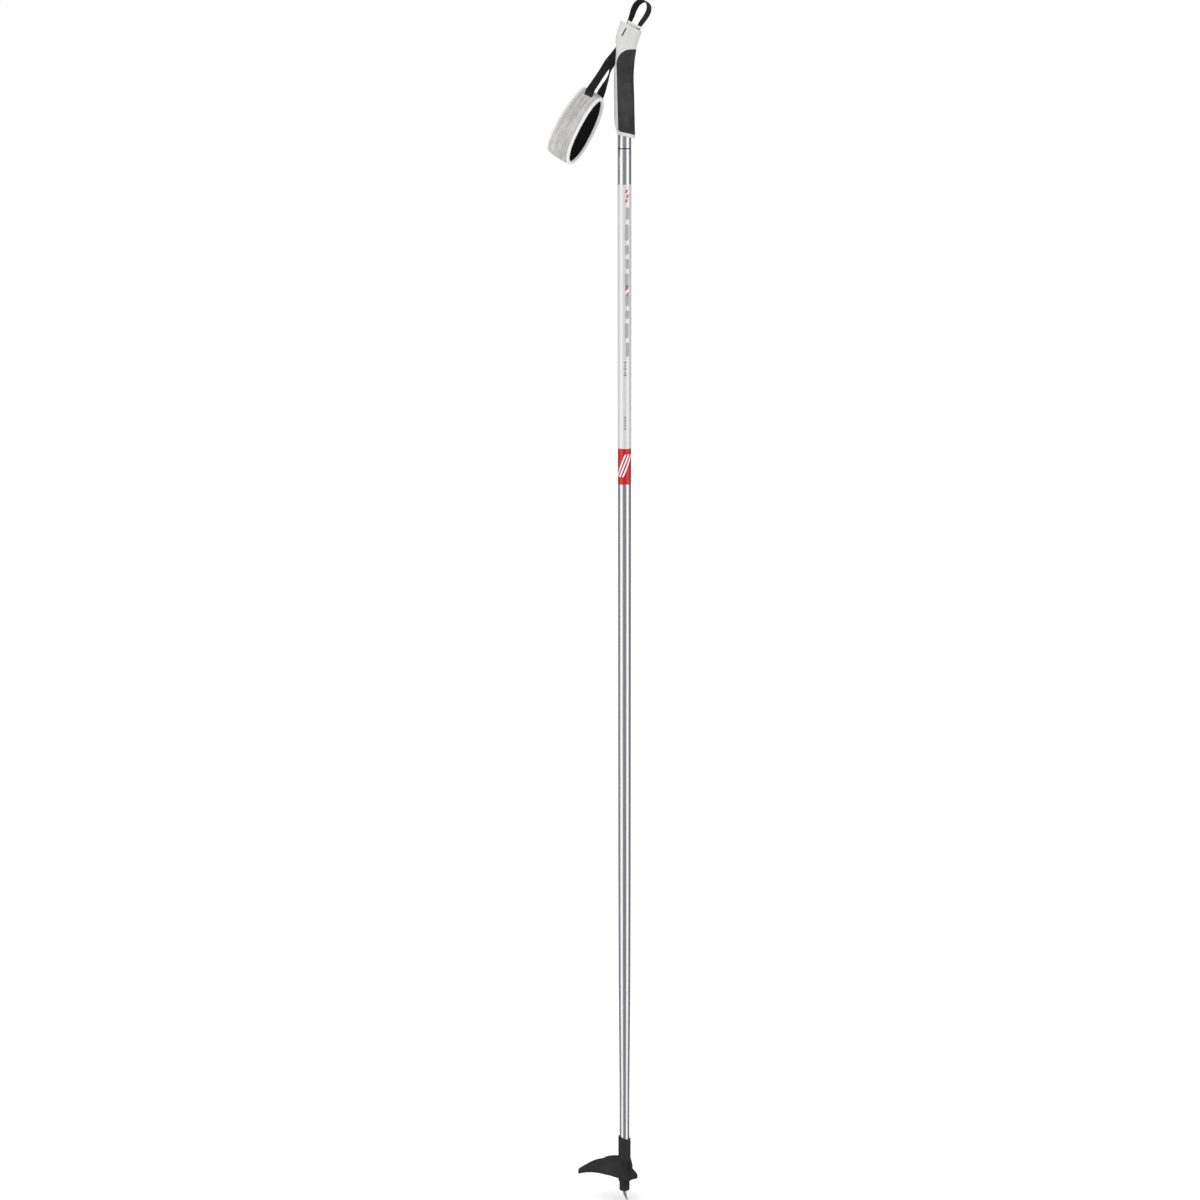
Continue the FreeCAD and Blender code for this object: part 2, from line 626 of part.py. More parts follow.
def make_patch(label, angle, along):
    """The end of a tape, sewn flat on the cuff's outer face."""
    thick = size("webbing_thick")
    middle, outward = cuff_point(angle, size("patch_gap") + thick / 2, along)
    around = cuff_hole_way.cross(outward)
    box = doc.addObject("Part::Box", label)
    bind(box, Length="patch_length", Width="webbing_width", Height="webbing_thick")
    doc.recompute()
    place = FreeCAD.Placement(middle, FreeCAD.Rotation(around, cuff_hole_way, outward, "ZXY"))
    corner = Vector(-box.Length.Value / 2, -box.Width.Value / 2, -thick / 2)
    box.Placement = place.multiply(FreeCAD.Placement(corner, FreeCAD.Rotation()))
    return keep(box, label)


def swinging_tape(label, side, landing, twist):
    """The tape from the strap's bend to its landing; twist lists shares of the run and the width's way."""
    start = Vector(size("bend_x"), side * size("tape_side"), size("bend_z")) + run * size("tape_start")
    way = (landing - start) * size("tape_share")
    strip(label, [(start + way * share, width_way) for share, width_way in twist])


def make_strap():
    for side, name in ((-1, "near"), (1, "far")):
        make_tails(side, name)
        angle = size(name + "_patch_angle")
        along = size(name + "_patch_along")
        make_patch("tape_patch_" + name, angle, along)
        landing = cuff_point(angle + side * size("tape_turn"), size("tape_lift"), along)[0]
        if name == "near":
            twist = [(0.0, tape_up), (0.5, tape_up), (1.0, tape_up - cuff_hole_way)]
        else:
            twist = [(0.0, tape_up), (0.35, tape_up + ACROSS), (0.7, ACROSS)]
            twist.append((1.0, ACROSS * 2 - cuff_hole_way))
        swinging_tape("strap_tape_" + name, side, landing, twist)


# ---------------------------------------------------------------- basket, ferrule and spike
def make_basket():
    outside = doc.addObject("Part::MultiFuse", "basket_outside")
    outside.Shapes = [lofted(name, section_cells(name)) for name in ("bell_outside", "tail_outside")]
    inside = doc.addObject("Part::MultiFuse", "basket_inside")
    inside.Shapes = [lofted(name, section_cells(name)) for name in ("bell_inside", "tail_inside")]
    shell = combine("Part::Cut", "basket_shell", outside, inside)

    sleeve = slab("sleeve_side", [
        ("-sleeve_radius", "sleeve_low_z"),
        ("sleeve_radius", "sleeve_low_z"),
        ("sleeve_radius", "sleeve_top_front_z"),
        ("-sleeve_radius", "sleeve_top_rear_z"),
    ], "3 * sleeve_radius")
    post = doc.addObject("Part::Cylinder", "sleeve_post")
    bind(post, Radius="sleeve_radius", Height="sleeve_top_rear_z - sleeve_low_z",
         Placement__Base__z="sleeve_low_z")
    hub = combine("Part::Common", "basket_hub", post, sleeve)
    solid = doc.addObject("Part::MultiFuse", "basket_solid")
    solid.Shapes = [shell, hub]
    bore = doc.addObject("Part::Cylinder", "basket_bore")
    bind(bore, Radius="tube_tip_radius + fit_gap", Height="sleeve_top_rear_z + cut_margin")
    return keep(combine("Part::Cut", "basket", solid, bore), "basket")


def make_ferrule():
    spigot = "tube_tip_radius - tube_wall - fit_gap"
    hole = "spike_radius + fit_gap"
    corners = [
        (hole, "nose_low_z"),
        ("nose_radius", "nose_low_z"),
        ("nose_radius", "nose_top_z"),
        ("ferrule_flange_radius", "sleeve_low_z - flange_edge"),
        ("ferrule_flange_radius", "sleeve_low_z"),
        (spigot, "sleeve_low_z"),
        (spigot, "spigot_top_z"),
        ("0", "spigot_top_z"),
        ("0", "spike_top_z + fit_gap"),
        (hole, "spike_top_z + fit_gap"),
    ]
    return keep(turned("tip_ferrule", corners), "tip_ferrule")


# Below the ferrule: share of the forward reach, share of the drop, share of the slimming, bend in degrees.
SPIKE_STATIONS = [
    (0.0, 0.0, 0.0, 0.0),
    (0.2, 0.42, 0.28, 8.0),
    (0.62, 0.77, 0.7, 18.0),
    (1.0, 1.0, 1.0, 20.0),
]


def make_spike():
    """A straight shank in the ferrule, loft of slimming rings below it down to the blunt point."""
    shank = size("spike_radius")
    slimming = shank - size("spike_tip_radius")
    shank_low = size("nose_low_z") - size("spike_set_in")
    point_drop = shank_low - size("spike_point_z")
    rings = []
    for forward, down, slim, bend in SPIKE_STATIONS:
        along = FreeCAD.Rotation(ACROSS, -bend).multVec(UP)
        centre = Vector(forward * size("spike_reach"), 0, shank_low - down * point_drop)
        rings.append(Part.Wire([Part.makeCircle(shank - slim * slimming, centre, along)]))
    straight = Part.makeCylinder(shank, size("spike_top_z") - shank_low, Vector(0, 0, shank_low))
    made = doc.addObject("Part::Feature", "spike")
    made.Shape = straight.fuse(Part.makeLoft(rings, True, False)).removeSplitter()
    return keep(made, "spike")


# ---------------------------------------------------------------- build, check and write
make_tube()
make_top_plug()
make_film("printed_sleeve", "band_top_z", "print_top_z")
make_film("red_band", "band_low_z", "band_top_z")
make_grip()
make_wedge()
keep(loop_body("pull_loop", 0.0), "pull_loop")
make_strap()
make_cuff()
make_basket()
make_ferrule()
make_spike()
doc.recompute()

for thing in doc.Objects:
    if any(word in state for state in thing.State for word in ("Invalid", "Error")):
        raise RuntimeError("%s did not compute: %s" % (thing.Label, thing.State))
os.makedirs("parts", exist_ok=True)
for thing in subparts:
    shape = thing.Shape
    if shape.isNull() or not shape.isValid() or not shape.Solids:
        raise RuntimeError("%s has no valid solid" % thing.Label)
    box = shape.optimalBoundingBox(False)
    print("%-20s solids %d volume %9.1f" % (thing.Label, len(shape.Solids), shape.Volume), end="")
    print("  x %.1f..%.1f  y %.1f..%.1f" % (box.XMin, box.XMax, box.YMin, box.YMax), end="")
    print("  z %.1f..%.1f" % (box.ZMin, box.ZMax))
    shape.exportStep("parts/%s.step" % thing.Label)
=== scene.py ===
"""Looks of the cross-country ski pole: finishes for its hard nodes, finer meshes for moulded and sewn ones.

Lengths are in millimetres and turn into metres as each mesh is made; the studio is in metres.
+Z is up the shaft, +X the way the grip head leans, -X the side of the strap.
"""
import math
from contextlib import contextmanager

import bmesh
import bpy
import numpy as np
from mathutils import Matrix, Vector, noise


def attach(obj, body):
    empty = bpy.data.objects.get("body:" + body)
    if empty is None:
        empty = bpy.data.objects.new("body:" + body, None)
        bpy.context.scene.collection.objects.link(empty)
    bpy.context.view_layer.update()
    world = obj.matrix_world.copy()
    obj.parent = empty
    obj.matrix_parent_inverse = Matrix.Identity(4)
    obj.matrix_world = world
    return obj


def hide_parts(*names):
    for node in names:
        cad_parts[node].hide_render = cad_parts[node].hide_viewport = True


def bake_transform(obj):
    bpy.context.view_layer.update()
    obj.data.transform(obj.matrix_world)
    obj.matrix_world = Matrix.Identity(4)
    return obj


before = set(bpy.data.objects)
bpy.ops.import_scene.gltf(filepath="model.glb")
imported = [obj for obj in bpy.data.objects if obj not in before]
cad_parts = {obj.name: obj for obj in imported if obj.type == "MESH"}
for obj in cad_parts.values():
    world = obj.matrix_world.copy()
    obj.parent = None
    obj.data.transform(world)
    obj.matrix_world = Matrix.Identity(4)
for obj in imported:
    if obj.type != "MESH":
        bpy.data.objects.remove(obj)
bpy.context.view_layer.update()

MM = 0.001
UP = np.array([0.0, 0.0, 1.0])
ACROSS = np.array([0.0, 1.0, 0.0])


def linked(name, data):
    """A new object of the scene."""
    thing = bpy.data.objects.new(name, data)
    bpy.context.scene.collection.objects.link(thing)
    return thing


# ---- short ways to add nodes
class Nodes:
    """A node tree of the world or of a material."""

    def __init__(self, tree):
        self.tree = tree

    def node(self, kind, *sources, **settings):
        """A node with its inputs linked or set in order, and its properties set by name."""
        made = self.tree.nodes.new("ShaderNode" + kind)
        for label, value in settings.items():
            setattr(made, label, value)
        for socket, source in zip(made.inputs, sources):
            self.join(source, socket)
        return made

    def join(self, source, socket):
        if isinstance(source, bpy.types.NodeSocket):
            self.tree.links.new(source, socket)
        elif source is not None:
            socket.default_value = source

    def ranged(self, source, low, high, out_low, out_high):
        return self.node("MapRange", source, low, high, out_low, out_high).outputs[0]

    def maths(self, operation, *sources):
        return self.node("Math", *sources, operation=operation).outputs[0]

    def wave(self, source, turns):
        """A sine of the source, which goes through so many radians to the metre."""
        return self.maths("SINE", self.maths("MULTIPLY", source, turns))


# ---- camera, floor and lights
CAMERA_PLACE = (0.0, -3.3, 1.4)
LOOK_DOWN = math.radians(10.864)
LENS_MM, SENSOR_MM = 83.73, 36.0
SHIFT_LEFT = 0.0204
FLOOR_SIZE = 400.0
# Strength of the room at its dark and bright ends, as it lights the pole and as the pole reflects it.
ROOM_LIGHT = (0.62, 1.30)
ROOM_REFLECTED = (0.18, 0.29)
BRIGHT_WAY = (-0.62, -0.38, 0.68)


def make_camera():
    camera = linked("camera", bpy.data.cameras.new("camera"))
    camera.location = CAMERA_PLACE
    camera.rotation_euler = (math.pi / 2 - LOOK_DOWN, 0.0, 0.0)
    camera.data.sensor_width = SENSOR_MM
    camera.data.lens = LENS_MM
    camera.data.shift_x = -SHIFT_LEFT
    camera.data.clip_start = 0.05
    camera.data.clip_end = 200.0
    bpy.context.scene.camera = camera


def soft_box(name, azimuth, distance, height, width, tall, power, tilt=0.0):
    """A tall area light facing the pole; azimuth 0 is the camera's side and grows towards +X."""
    light = linked(name, bpy.data.lights.new(name, "AREA"))
    turn = math.radians(azimuth)
    light.location = (distance * math.sin(turn), -distance * math.cos(turn), height)
    light.rotation_euler = (math.pi / 2 - math.radians(tilt), 0.0, turn)
    light.data.shape = "RECTANGLE"
    light.data.size = width
    light.data.size_y = tall
    light.data.energy = power


def make_world():
    """White backdrop to the camera; to light and reflections a soft room, brighter to the left and above."""
    world = bpy.data.worlds.new("studio")
    bpy.context.scene.world = world
    world.use_nodes = True
    world.node_tree.nodes.clear()
    room = Nodes(world.node_tree)
    way = room.node("TexCoord").outputs["Generated"]
    bright_way = Vector(BRIGHT_WAY).normalized()
    lean = room.node("VectorMath", way, bright_way, operation="DOT_PRODUCT").outputs["Value"]
    light, reflected = (room.ranged(lean, -1.0, 1.0, *ends) for ends in (ROOM_LIGHT, ROOM_REFLECTED))
    rays = room.node("LightPath").outputs
    strength = room.node("Mix", rays["Is Glossy Ray"], None, light, reflected).outputs[0]
    strength = room.node("Mix", rays["Is Camera Ray"], None, strength, 1.0).outputs[0]
    background = room.node("Background", (1.0, 1.0, 1.0, 1.0), strength)
    room.node("OutputWorld", background.outputs[0])


def make_studio():
    view = bpy.context.scene.view_settings
    view.view_transform = "Standard"
    bpy.ops.mesh.primitive_plane_add(size=FLOOR_SIZE)
    floor = bpy.context.object
    floor.name = "floor"
    floor.visible_glossy = False
    floor.data.materials.append(Finish("floor_pale", (0.97, 0.97, 0.97), 0.95).material)
    make_world()
    soft_box("soft_left", -57.0, 2.1, 0.45, 1.9, 3.1, 18.0)
    soft_box("soft_right", 57.0, 2.1, 0.45, 1.7, 3.1, 18.5)
    soft_box("soft_top", -20.0, 1.6, 2.9, 1.6, 1.6, 5.0, tilt=62.0)


# ---- materials
class Finish(Nodes):
    """A Principled material: its shader, its relief so far, and the textures and effects it is made of."""

    def __init__(self, name, colour, rough, **inputs):
        self.material = bpy.data.materials.new(name)
        self.material.use_nodes = True
        self.material.diffuse_color = (*colour, 1.0)
        super().__init__(self.material.node_tree)
        self.shader = self.tree.nodes["Principled BSDF"]
        self.shader.inputs["Base Color"].default_value = (*colour, 1.0)
        self.shader.inputs["Roughness"].default_value = rough
        for label, value in inputs.items():
            self.shader.inputs[label.replace("_", " ").title().replace("Ior", "IOR")].default_value = value
        self.height = None

    def coords(self, kind="Object", scale=(1.0, 1.0, 1.0)):
        """Object coordinates are metres in the frame, and so are the UVs of every sewn piece."""
        place = self.node("TexCoord").outputs[kind]
        return self.node("VectorMath", place, scale, operation="MULTIPLY").outputs[0]

    def speckle(self, scale, detail=2.0, kind="Object", stretch=(1.0, 1.0, 1.0)):
        made = self.node("TexNoise", self.coords(kind, stretch))
        made.inputs["Scale"].default_value = scale
        made.inputs["Detail"].default_value = detail
        return made.outputs["Fac"]

    def cells(self, scale, kind="Object", feature="F1"):
        made = self.node("TexVoronoi", self.coords(kind), feature=feature)
        made.inputs["Scale"].default_value = scale
        return made.outputs["Distance"]

    def tint(self, amount, other):
        """Blends the base colour towards another by a 0 to 1 value."""
        mix = self.node("Mix", data_type="RGBA")
        now = self.shader.inputs["Base Color"]
        self.join(amount, mix.inputs["Factor"])
        self.join(now.links[0].from_socket if now.is_linked else now.default_value, mix.inputs[6])
        self.join((*other, 1.0), mix.inputs[7])
        self.join(mix.outputs[2], now)
        return self

    def fade(self, source, low, high, at_low, at_high, other):
        """A tint that goes from one amount to another as the source rises from low to high."""
        return self.tint(self.ranged(source, low, high, at_low, at_high), other)

    def rough(self, source, low, high):
        self.join(self.ranged(source, 0.0, 1.0, low, high), self.shader.inputs["Roughness"])
        return self

    def bump(self, source, depth_mm):
        """Adds relief of that real depth; later calls lie on top of earlier ones."""
        made = self.node("Bump")
        made.inputs["Strength"].default_value = 1.0
        made.inputs["Distance"].default_value = depth_mm * MM
        self.join(source, made.inputs["Height"])
        if self.height:
            self.join(self.height, made.inputs["Normal"])
        self.height = made.outputs["Normal"]
        self.join(self.height, self.shader.inputs["Normal"])
        return self

    def edge_wear_and_highlight(self, other, amount=0.5):
        """Lightens or darkens convex edges: rubbed wear where hands and snow rub, and a painted edge
        highlight.
        """
        edges = self.ranged(self.node("NewGeometry").outputs["Pointiness"], 0.52, 0.62, 0.0, amount)
        return self.tint(self.maths("MULTIPLY", edges, self.speckle(900.0)), other)


def anodised():
    """Satin anodised aluminium with drawing lines along the tube, scuffs near the snow and a dark ring."""
    made = Finish("anodised_aluminium", (0.80, 0.81, 0.83), 0.26, metallic=1.0, anisotropic=0.35)
    lines = made.speckle(1.0, 3.0, stretch=(2600.0, 2600.0, 9.0))
    scuffs = made.speckle(1.0, 4.0, stretch=(240.0, 240.0, 70.0))
    height = made.node("SeparateXYZ", made.coords()).outputs["Z"]
    low_down = made.ranged(height, 0.10, 0.75, 1.0, 0.0)
    scuffed = made.maths("MULTIPLY", low_down, made.ranged(scuffs, 0.58, 0.68, 0.0, 0.18))
    made.rough(made.maths("ADD", made.maths("MULTIPLY", lines, 0.55), scuffed), 0.16, 0.42)
    made.fade(lines, 0.35, 0.7, 0.0, 0.16, (0.52, 0.53, 0.56))
    made.tint(scuffed, (0.55, 0.55, 0.56))
    made.bump(lines, 0.004)
    ring_z = 1.3035
    off_ring = made.maths("ABSOLUTE", made.maths("SUBTRACT", height, ring_z))
    made.fade(off_ring, 0.0006, 0.0009, 0.85, 0.0, (0.05, 0.05, 0.055))
    return made.material


def printed(name, colour, shadow):
    """A gloss film: a metallic ink under a clear coat, with fine print grain and small scratches."""
    made = Finish(name, colour, 0.32, metallic=0.35, coat_weight=0.6, coat_roughness=0.12)
    grain = made.speckle(2600.0)
    made.fade(grain, 0.3, 0.8, 0.0, 0.25, shadow)
    scratches = made.speckle(1.0, 2.0, stretch=(1500.0, 1500.0, 60.0))
    made.rough(scratches, 0.24, 0.42)
    made.bump(grain, 0.004)
    return made.material


def print_ink(name, colour):
    made = Finish(name, colour, 0.38, coat_weight=0.5, coat_roughness=0.15)
    grain = made.speckle(3000.0)
    made.fade(grain, 0.35, 0.75, 0.0, 0.3, tuple(0.72 * part for part in colour))
    made.bump(grain, 0.003)
    return made.material


def moulded(name, colour, worn_and_highlight, rough, grain_mm=0.02, spec=0.5):
    """Spark-textured moulding with faint flow marks, and convex edges lightened: rubbed wear and a painted
    edge highlight.
    """
    made = Finish(name, colour, rough, specular_ior_level=spec)
    grain = made.speckle(2800.0, 3.0)
    flow = made.speckle(34.0, 3.0)
    made.fade(flow, 0.35, 0.7, 0.0, 0.35, worn_and_highlight)
    made.fade(grain, 0.55, 0.75, 0.0, 0.18, tuple(0.6 * part for part in colour))
    # convex edges lightened: rubbed wear, and a painted edge highlight as well
    made.edge_wear_and_highlight(worn_and_highlight, 0.6)
    made.rough(grain, rough - 0.08, rough + 0.12)
    made.bump(flow, 0.03).bump(grain, grain_mm)
    return made.material


def pebbled():
    """Soft grip rubber: small pebbles with darker valleys and a few polished ones."""
    made = Finish("grip_rubber", (0.032, 0.032, 0.034), 0.62, specular_ior_level=0.25)
    valley = made.cells(620.0, feature="DISTANCE_TO_EDGE")
    fine = made.speckle(2400.0, 3.0)
    made.fade(valley, 0.0, 0.16, 0.8, 0.0, (0.007, 0.007, 0.008))
    made.fade(made.speckle(60.0, 3.0), 0.45, 0.75, 0.0, 0.6, (0.060, 0.060, 0.062))
    made.rough(fine, 0.5, 0.8)
    made.bump(made.ranged(valley, 0.0, 0.22, 0.0, 1.0), 0.14).bump(fine, 0.03)
    return made.material


def woven(name, colour, highlight, pitch_mm, gloss, rough=0.75, depth_mm=0.07):
    """Narrow woven tape: two sets of slanted floats that meet in chevrons, from UVs in metres."""
    made = Finish(name, colour, rough, sheen_weight=0.5 * gloss, sheen_roughness=0.5,
                  specular_ior_level=gloss)
    across, along, _ = made.node("SeparateXYZ", made.coords("UV")).outputs
    turns = 2.0 * math.pi / (pitch_mm * MM)
    slant = made.maths("MULTIPLY", made.maths("PINGPONG", across, 1.7 * MM), turns * 0.8)
    floats = made.maths("SINE", made.maths("ADD", made.maths("MULTIPLY", along, turns), slant))
    warp = made.wave(across, turns * 1.6)
    weave = made.maths("MULTIPLY", made.maths("ADD", floats, made.maths("MULTIPLY", warp, 0.5)), 0.5)
    fuzz = made.speckle(5200.0, 3.0, "UV")
    made.fade(weave, -0.5, 0.75, 0.0, 0.85, highlight)
    made.fade(fuzz, 0.5, 0.8, 0.0, 0.4, tuple(0.45 * part for part in colour))
    made.rough(fuzz, rough - 0.1, rough + 0.15)
    made.bump(weave, depth_mm).bump(fuzz, 0.02)
    return made.material


def knitted():
    """Ribbed melange knit of the cuff: wales across the band, a darker line in each channel."""
    made = Finish("cuff_knit", (0.50, 0.495, 0.475), 0.88, sheen_weight=0.2, sheen_roughness=0.6)
    across, along, _ = made.node("SeparateXYZ", made.coords("UV")).outputs
    stitch = made.wave(along, 2 * math.pi / (1.1 * MM))
    wale = made.wave(across, 2 * math.pi / (0.8 * MM))
    loops = made.maths("MULTIPLY", made.maths("ADD", stitch, wale), 0.5)
    yarn = made.speckle(1.0, 3.0, "UV", stretch=(1500.0, 260.0, 1.0))
    cloud = made.speckle(70.0, 3.0, "UV")
    streak = made.speckle(1.0, 2.0, "UV", stretch=(420.0, 24.0, 1.0))
    made.fade(streak, 0.42, 0.58, 0.75, 0.0, (0.27, 0.265, 0.25))
    made.fade(yarn, 0.38, 0.66, 0.55, 0.0, (0.32, 0.315, 0.30))
    made.fade(cloud, 0.45, 0.75, 0.0, 0.4, (0.64, 0.635, 0.61))
    made.fade(loops, -0.9, 0.0, 0.3, 0.0, (0.26, 0.255, 0.24))
    made.bump(loops, 0.10).bump(yarn, 0.12)
    return made.material


def brushed_lining():
    made = Finish("cuff_lining_black", (0.004, 0.004, 0.005), 0.92, sheen_weight=0.04,
                  specular_ior_level=0.12)
    nap = made.speckle(1800.0, 4.0, "UV")
    mesh = made.cells(900.0, "UV")
    made.fade(nap, 0.5, 0.75, 0.0, 0.6, (0.013, 0.013, 0.014))
    made.bump(mesh, 0.12).bump(nap, 0.08)
    return made.material


def foam():
    made = Finish("cuff_foam_grey", (0.30, 0.30, 0.31), 0.95)
    pores = made.cells(1300.0)
    made.fade(pores, 0.0, 0.5, 0.7, 0.0, (0.12, 0.12, 0.13))
    made.bump(pores, 0.15)
    return made.material


def thread(name, colour):
    made = Finish(name, colour, 0.7, sheen_weight=0.3)
    twist = made.speckle(1.0, 1.0, stretch=(4200.0, 4200.0, 4200.0))
    made.fade(twist, 0.4, 0.7, 0.5, 0.0, tuple(0.5 * part for part in colour))
    made.bump(twist, 0.04)
    return made.material


def ground_steel():
    made = Finish("spike_steel", (0.56, 0.56, 0.57), 0.3, metallic=1.0)
    grind = made.speckle(1.0, 3.0, stretch=(700.0, 700.0, 5200.0))
    stain = made.speckle(420.0, 3.0)
    made.fade(stain, 0.5, 0.7, 0.0, 0.6, (0.28, 0.26, 0.24))
    made.rough(grind, 0.22, 0.5)
    made.bump(grind, 0.012)
    return made.material


# ---- mesh helpers
def unit(vector):
    vector = np.asarray(vector, float)
    return vector / np.linalg.norm(vector, axis=-1, keepdims=True)


def full_turn(count):
    return np.linspace(0, 2 * math.pi, count, endpoint=False)


def xyz(x, y, z):
    """Points from coordinates whose shapes fit together."""
    return np.stack(np.broadcast_arrays(x, y, z), -1)


def circle(radius, height, turn):
    """Points round the pole's axis."""
    return xyz(radius * np.cos(turn), radius * np.sin(turn), height)


def rings_about(centre, side, other, radius, turn):
    """A circle about each point of a line, in the plane of two directions there."""
    spoke = side[:, None] * np.cos(turn)[:, None] + other[:, None] * np.sin(turn)[:, None]
    return centre[:, None] + spoke * radius[:, None, None]


def smoothstep(low, high, value):
    t = np.clip((value - low) / (high - low), 0.0, 1.0)
    return t * t * (3 - 2 * t)


def through(knots, values, at):
    """A smooth curve through values at rising knots (a cubic with averaged slopes), read at any places."""
    knots = np.asarray(knots, float)
    values = np.asarray(values, float)
    steps = np.diff(values, axis=0) / np.diff(knots).reshape(-1, *[1] * (values.ndim - 1))
    slopes = np.concatenate([steps[:1], (steps[1:] + steps[:-1]) / 2, steps[-1:]])
    at = np.clip(np.asarray(at, float), knots[0], knots[-1])
    n = np.clip(np.searchsorted(knots, at, side="right") - 1, 0, len(knots) - 2)
    span = knots[n + 1] - knots[n]
    t = (at - knots[n]) / span
    if values.ndim > 1:
        t, span = t[..., None], span[..., None]
    return ((2 * t**3 - 3 * t**2 + 1) * values[n] + (t**3 - 2 * t**2 + t) * span * slopes[n]
            + (3 * t**2 - 2 * t**3) * values[n + 1] + (t**3 - t**2) * span * slopes[n + 1])


def rounded_corner(before, corner, after, radius, count):
    """Points of the arc that rounds one corner of a flat outline."""
    before, corner, after = (np.asarray(p, float) for p in (before, corner, after))
    into, out = unit(before - corner), unit(after - corner)
    half = math.acos(float(np.clip(into @ out, -1, 1))) / 2
    middle = corner + unit(into + out) * radius / math.sin(half)
    first = unit(corner + into * radius / math.tan(half) - middle)
    last = unit(corner + out * radius / math.tan(half) - middle)
    turn = math.acos(float(np.clip(first @ last, -1, 1)))
    steps = np.linspace(0, 1, count)[:, None]
    mixed = np.sin((1 - steps) * turn) * first + np.sin(steps * turn) * last
    return middle + radius * mixed / math.sin(turn)


@contextmanager
def editing(mesh):
    """Opens a mesh for editing with touching points merged."""
    work = bmesh.new()
    work.from_mesh(mesh)
    bmesh.ops.remove_doubles(work, verts=work.verts, dist=1e-6)
    yield work
    work.to_mesh(mesh)
    work.free()


def settle(thing, angle=40.0):
    """Consistent outward normals, and smooth shading except across real edges."""
    with editing(thing.data) as work:
        bmesh.ops.dissolve_degenerate(work, edges=work.edges, dist=1e-7)
        bmesh.ops.recalc_face_normals(work, faces=work.faces)
    thing.data.shade_smooth()
    thing.data.set_sharp_from_angle(angle=math.radians(angle))
    return thing


def piece(name, verts_mm, faces, material, uv=None):
    """A mesh object from points in millimetres; uv holds one pair per face corner."""
    mesh = bpy.data.meshes.new(name)
    mesh.from_pydata((np.asarray(verts_mm) * MM).tolist(), [], faces)
    if uv is not None:
        layer = mesh.uv_layers.new(name="UVMap")
        layer.data.foreach_set("uv", np.asarray(uv, np.float32).ravel())
    mesh.materials.append(material)
    return linked(name, mesh)


def grid_faces(rows, cols, closed_rows=False):
    """Corner numbers and corner places of the quads of a grid whose every row is a ring."""
    row, col = np.meshgrid(np.arange(rows if closed_rows else rows - 1), np.arange(cols), indexing="ij")
    row, col = row.ravel(), col.ravel()
    places = np.stack([np.stack([row + a, col + b], -1) for a, b in ((0, 0), (0, 1), (1, 1), (1, 0))], 1)
    return (places[..., 0] % rows) * cols + places[..., 1] % cols, places


def grid_piece(name, points, material, closed_rows=False, ends=True, pitch=None):
    """A mesh from rows of points. ends closes the first and last row; pitch is the UV step along a row and
    from row to row."""
    rows, cols = points.shape[:2]
    quads, places = grid_faces(rows, cols, closed_rows)
    faces = quads.tolist()
    uv = None
    if pitch is not None:
        uv = (places[..., ::-1] * np.asarray(pitch) * MM).reshape(-1, 2)
    if ends and not closed_rows:
        faces += [list(range(cols))[::-1], list(range((rows - 1) * cols, rows * cols))]
        if pitch is not None:
            uv = np.concatenate([uv, np.zeros((2 * cols, 2))])
    return settle(piece(name, points.reshape(-1, 3), faces, material, uv))


def select(*things):
    bpy.ops.object.select_all(action="DESELECT")
    for thing in things:
        thing.select_set(True)
    bpy.context.view_layer.objects.active = things[0]


def joined(name, things):
    """Several objects as one."""
    select(*things)
    bpy.ops.object.join()
    things[0].name = name
    return things[0]


def apply_modifiers(thing):
    select(thing)
    bpy.ops.object.convert(target="MESH")
    return thing


def cut_away(thing, cutters):
    """Subtracts closed meshes and removes them."""
    for cutter in cutters:
        change = thing.modifiers.new("cut", "BOOLEAN")
        change.operation = "DIFFERENCE"
        change.solver = "EXACT"
        change.object = cutter
    apply_modifiers(thing)
    for cutter in cutters:
        bpy.data.objects.remove(cutter)


def rounded_block(name, low, high, radius, place=None, material=None):
    """A box with rounded edges between two corners, in a frame given by place."""
    work = bmesh.new()
    bmesh.ops.create_cube(work, size=1.0)
    low, high = np.asarray(low, float), np.asarray(high, float)
    for vert in work.verts:
        vert.co = Vector((low + (np.array(vert.co) + 0.5) * (high - low)) * MM)
    bmesh.ops.bevel(work, geom=work.edges[:], offset=radius * MM, segments=3, profile=0.5, affect="EDGES")
    mesh = bpy.data.meshes.new(name)
    work.to_mesh(mesh)
    work.free()
    if place is not None:
        mesh.transform(place)
    if material:
        mesh.materials.append(material)
    return linked(name, mesh)


def coat(mesh, material):
    mesh.materials.clear()
    mesh.materials.append(material)


# ---- the leaning head's own frame
HEAD_LEAN = math.radians(27.4)
HEAD_CENTRE = np.array([7.85, 0.0, 1443.65])
HEAD_UP = np.array([math.sin(HEAD_LEAN), 0.0, math.cos(HEAD_LEAN)])
HEAD_ALONG = np.array([math.cos(HEAD_LEAN), 0.0, -math.sin(HEAD_LEAN)])
LOCK_OFFSET = 2.05


def on_head(along, across, rise):
    """Points given along the head's top face, across it, and above it."""
    along, across, rise = (np.asarray(v, float)[..., None] for v in (along, across, rise))
    return HEAD_CENTRE + HEAD_ALONG * along + ACROSS * across + HEAD_UP * rise


HEAD_PLACE = Matrix.Translation(Vector(HEAD_CENTRE * MM)) @ Matrix.Rotation(HEAD_LEAN, 4, "Y")


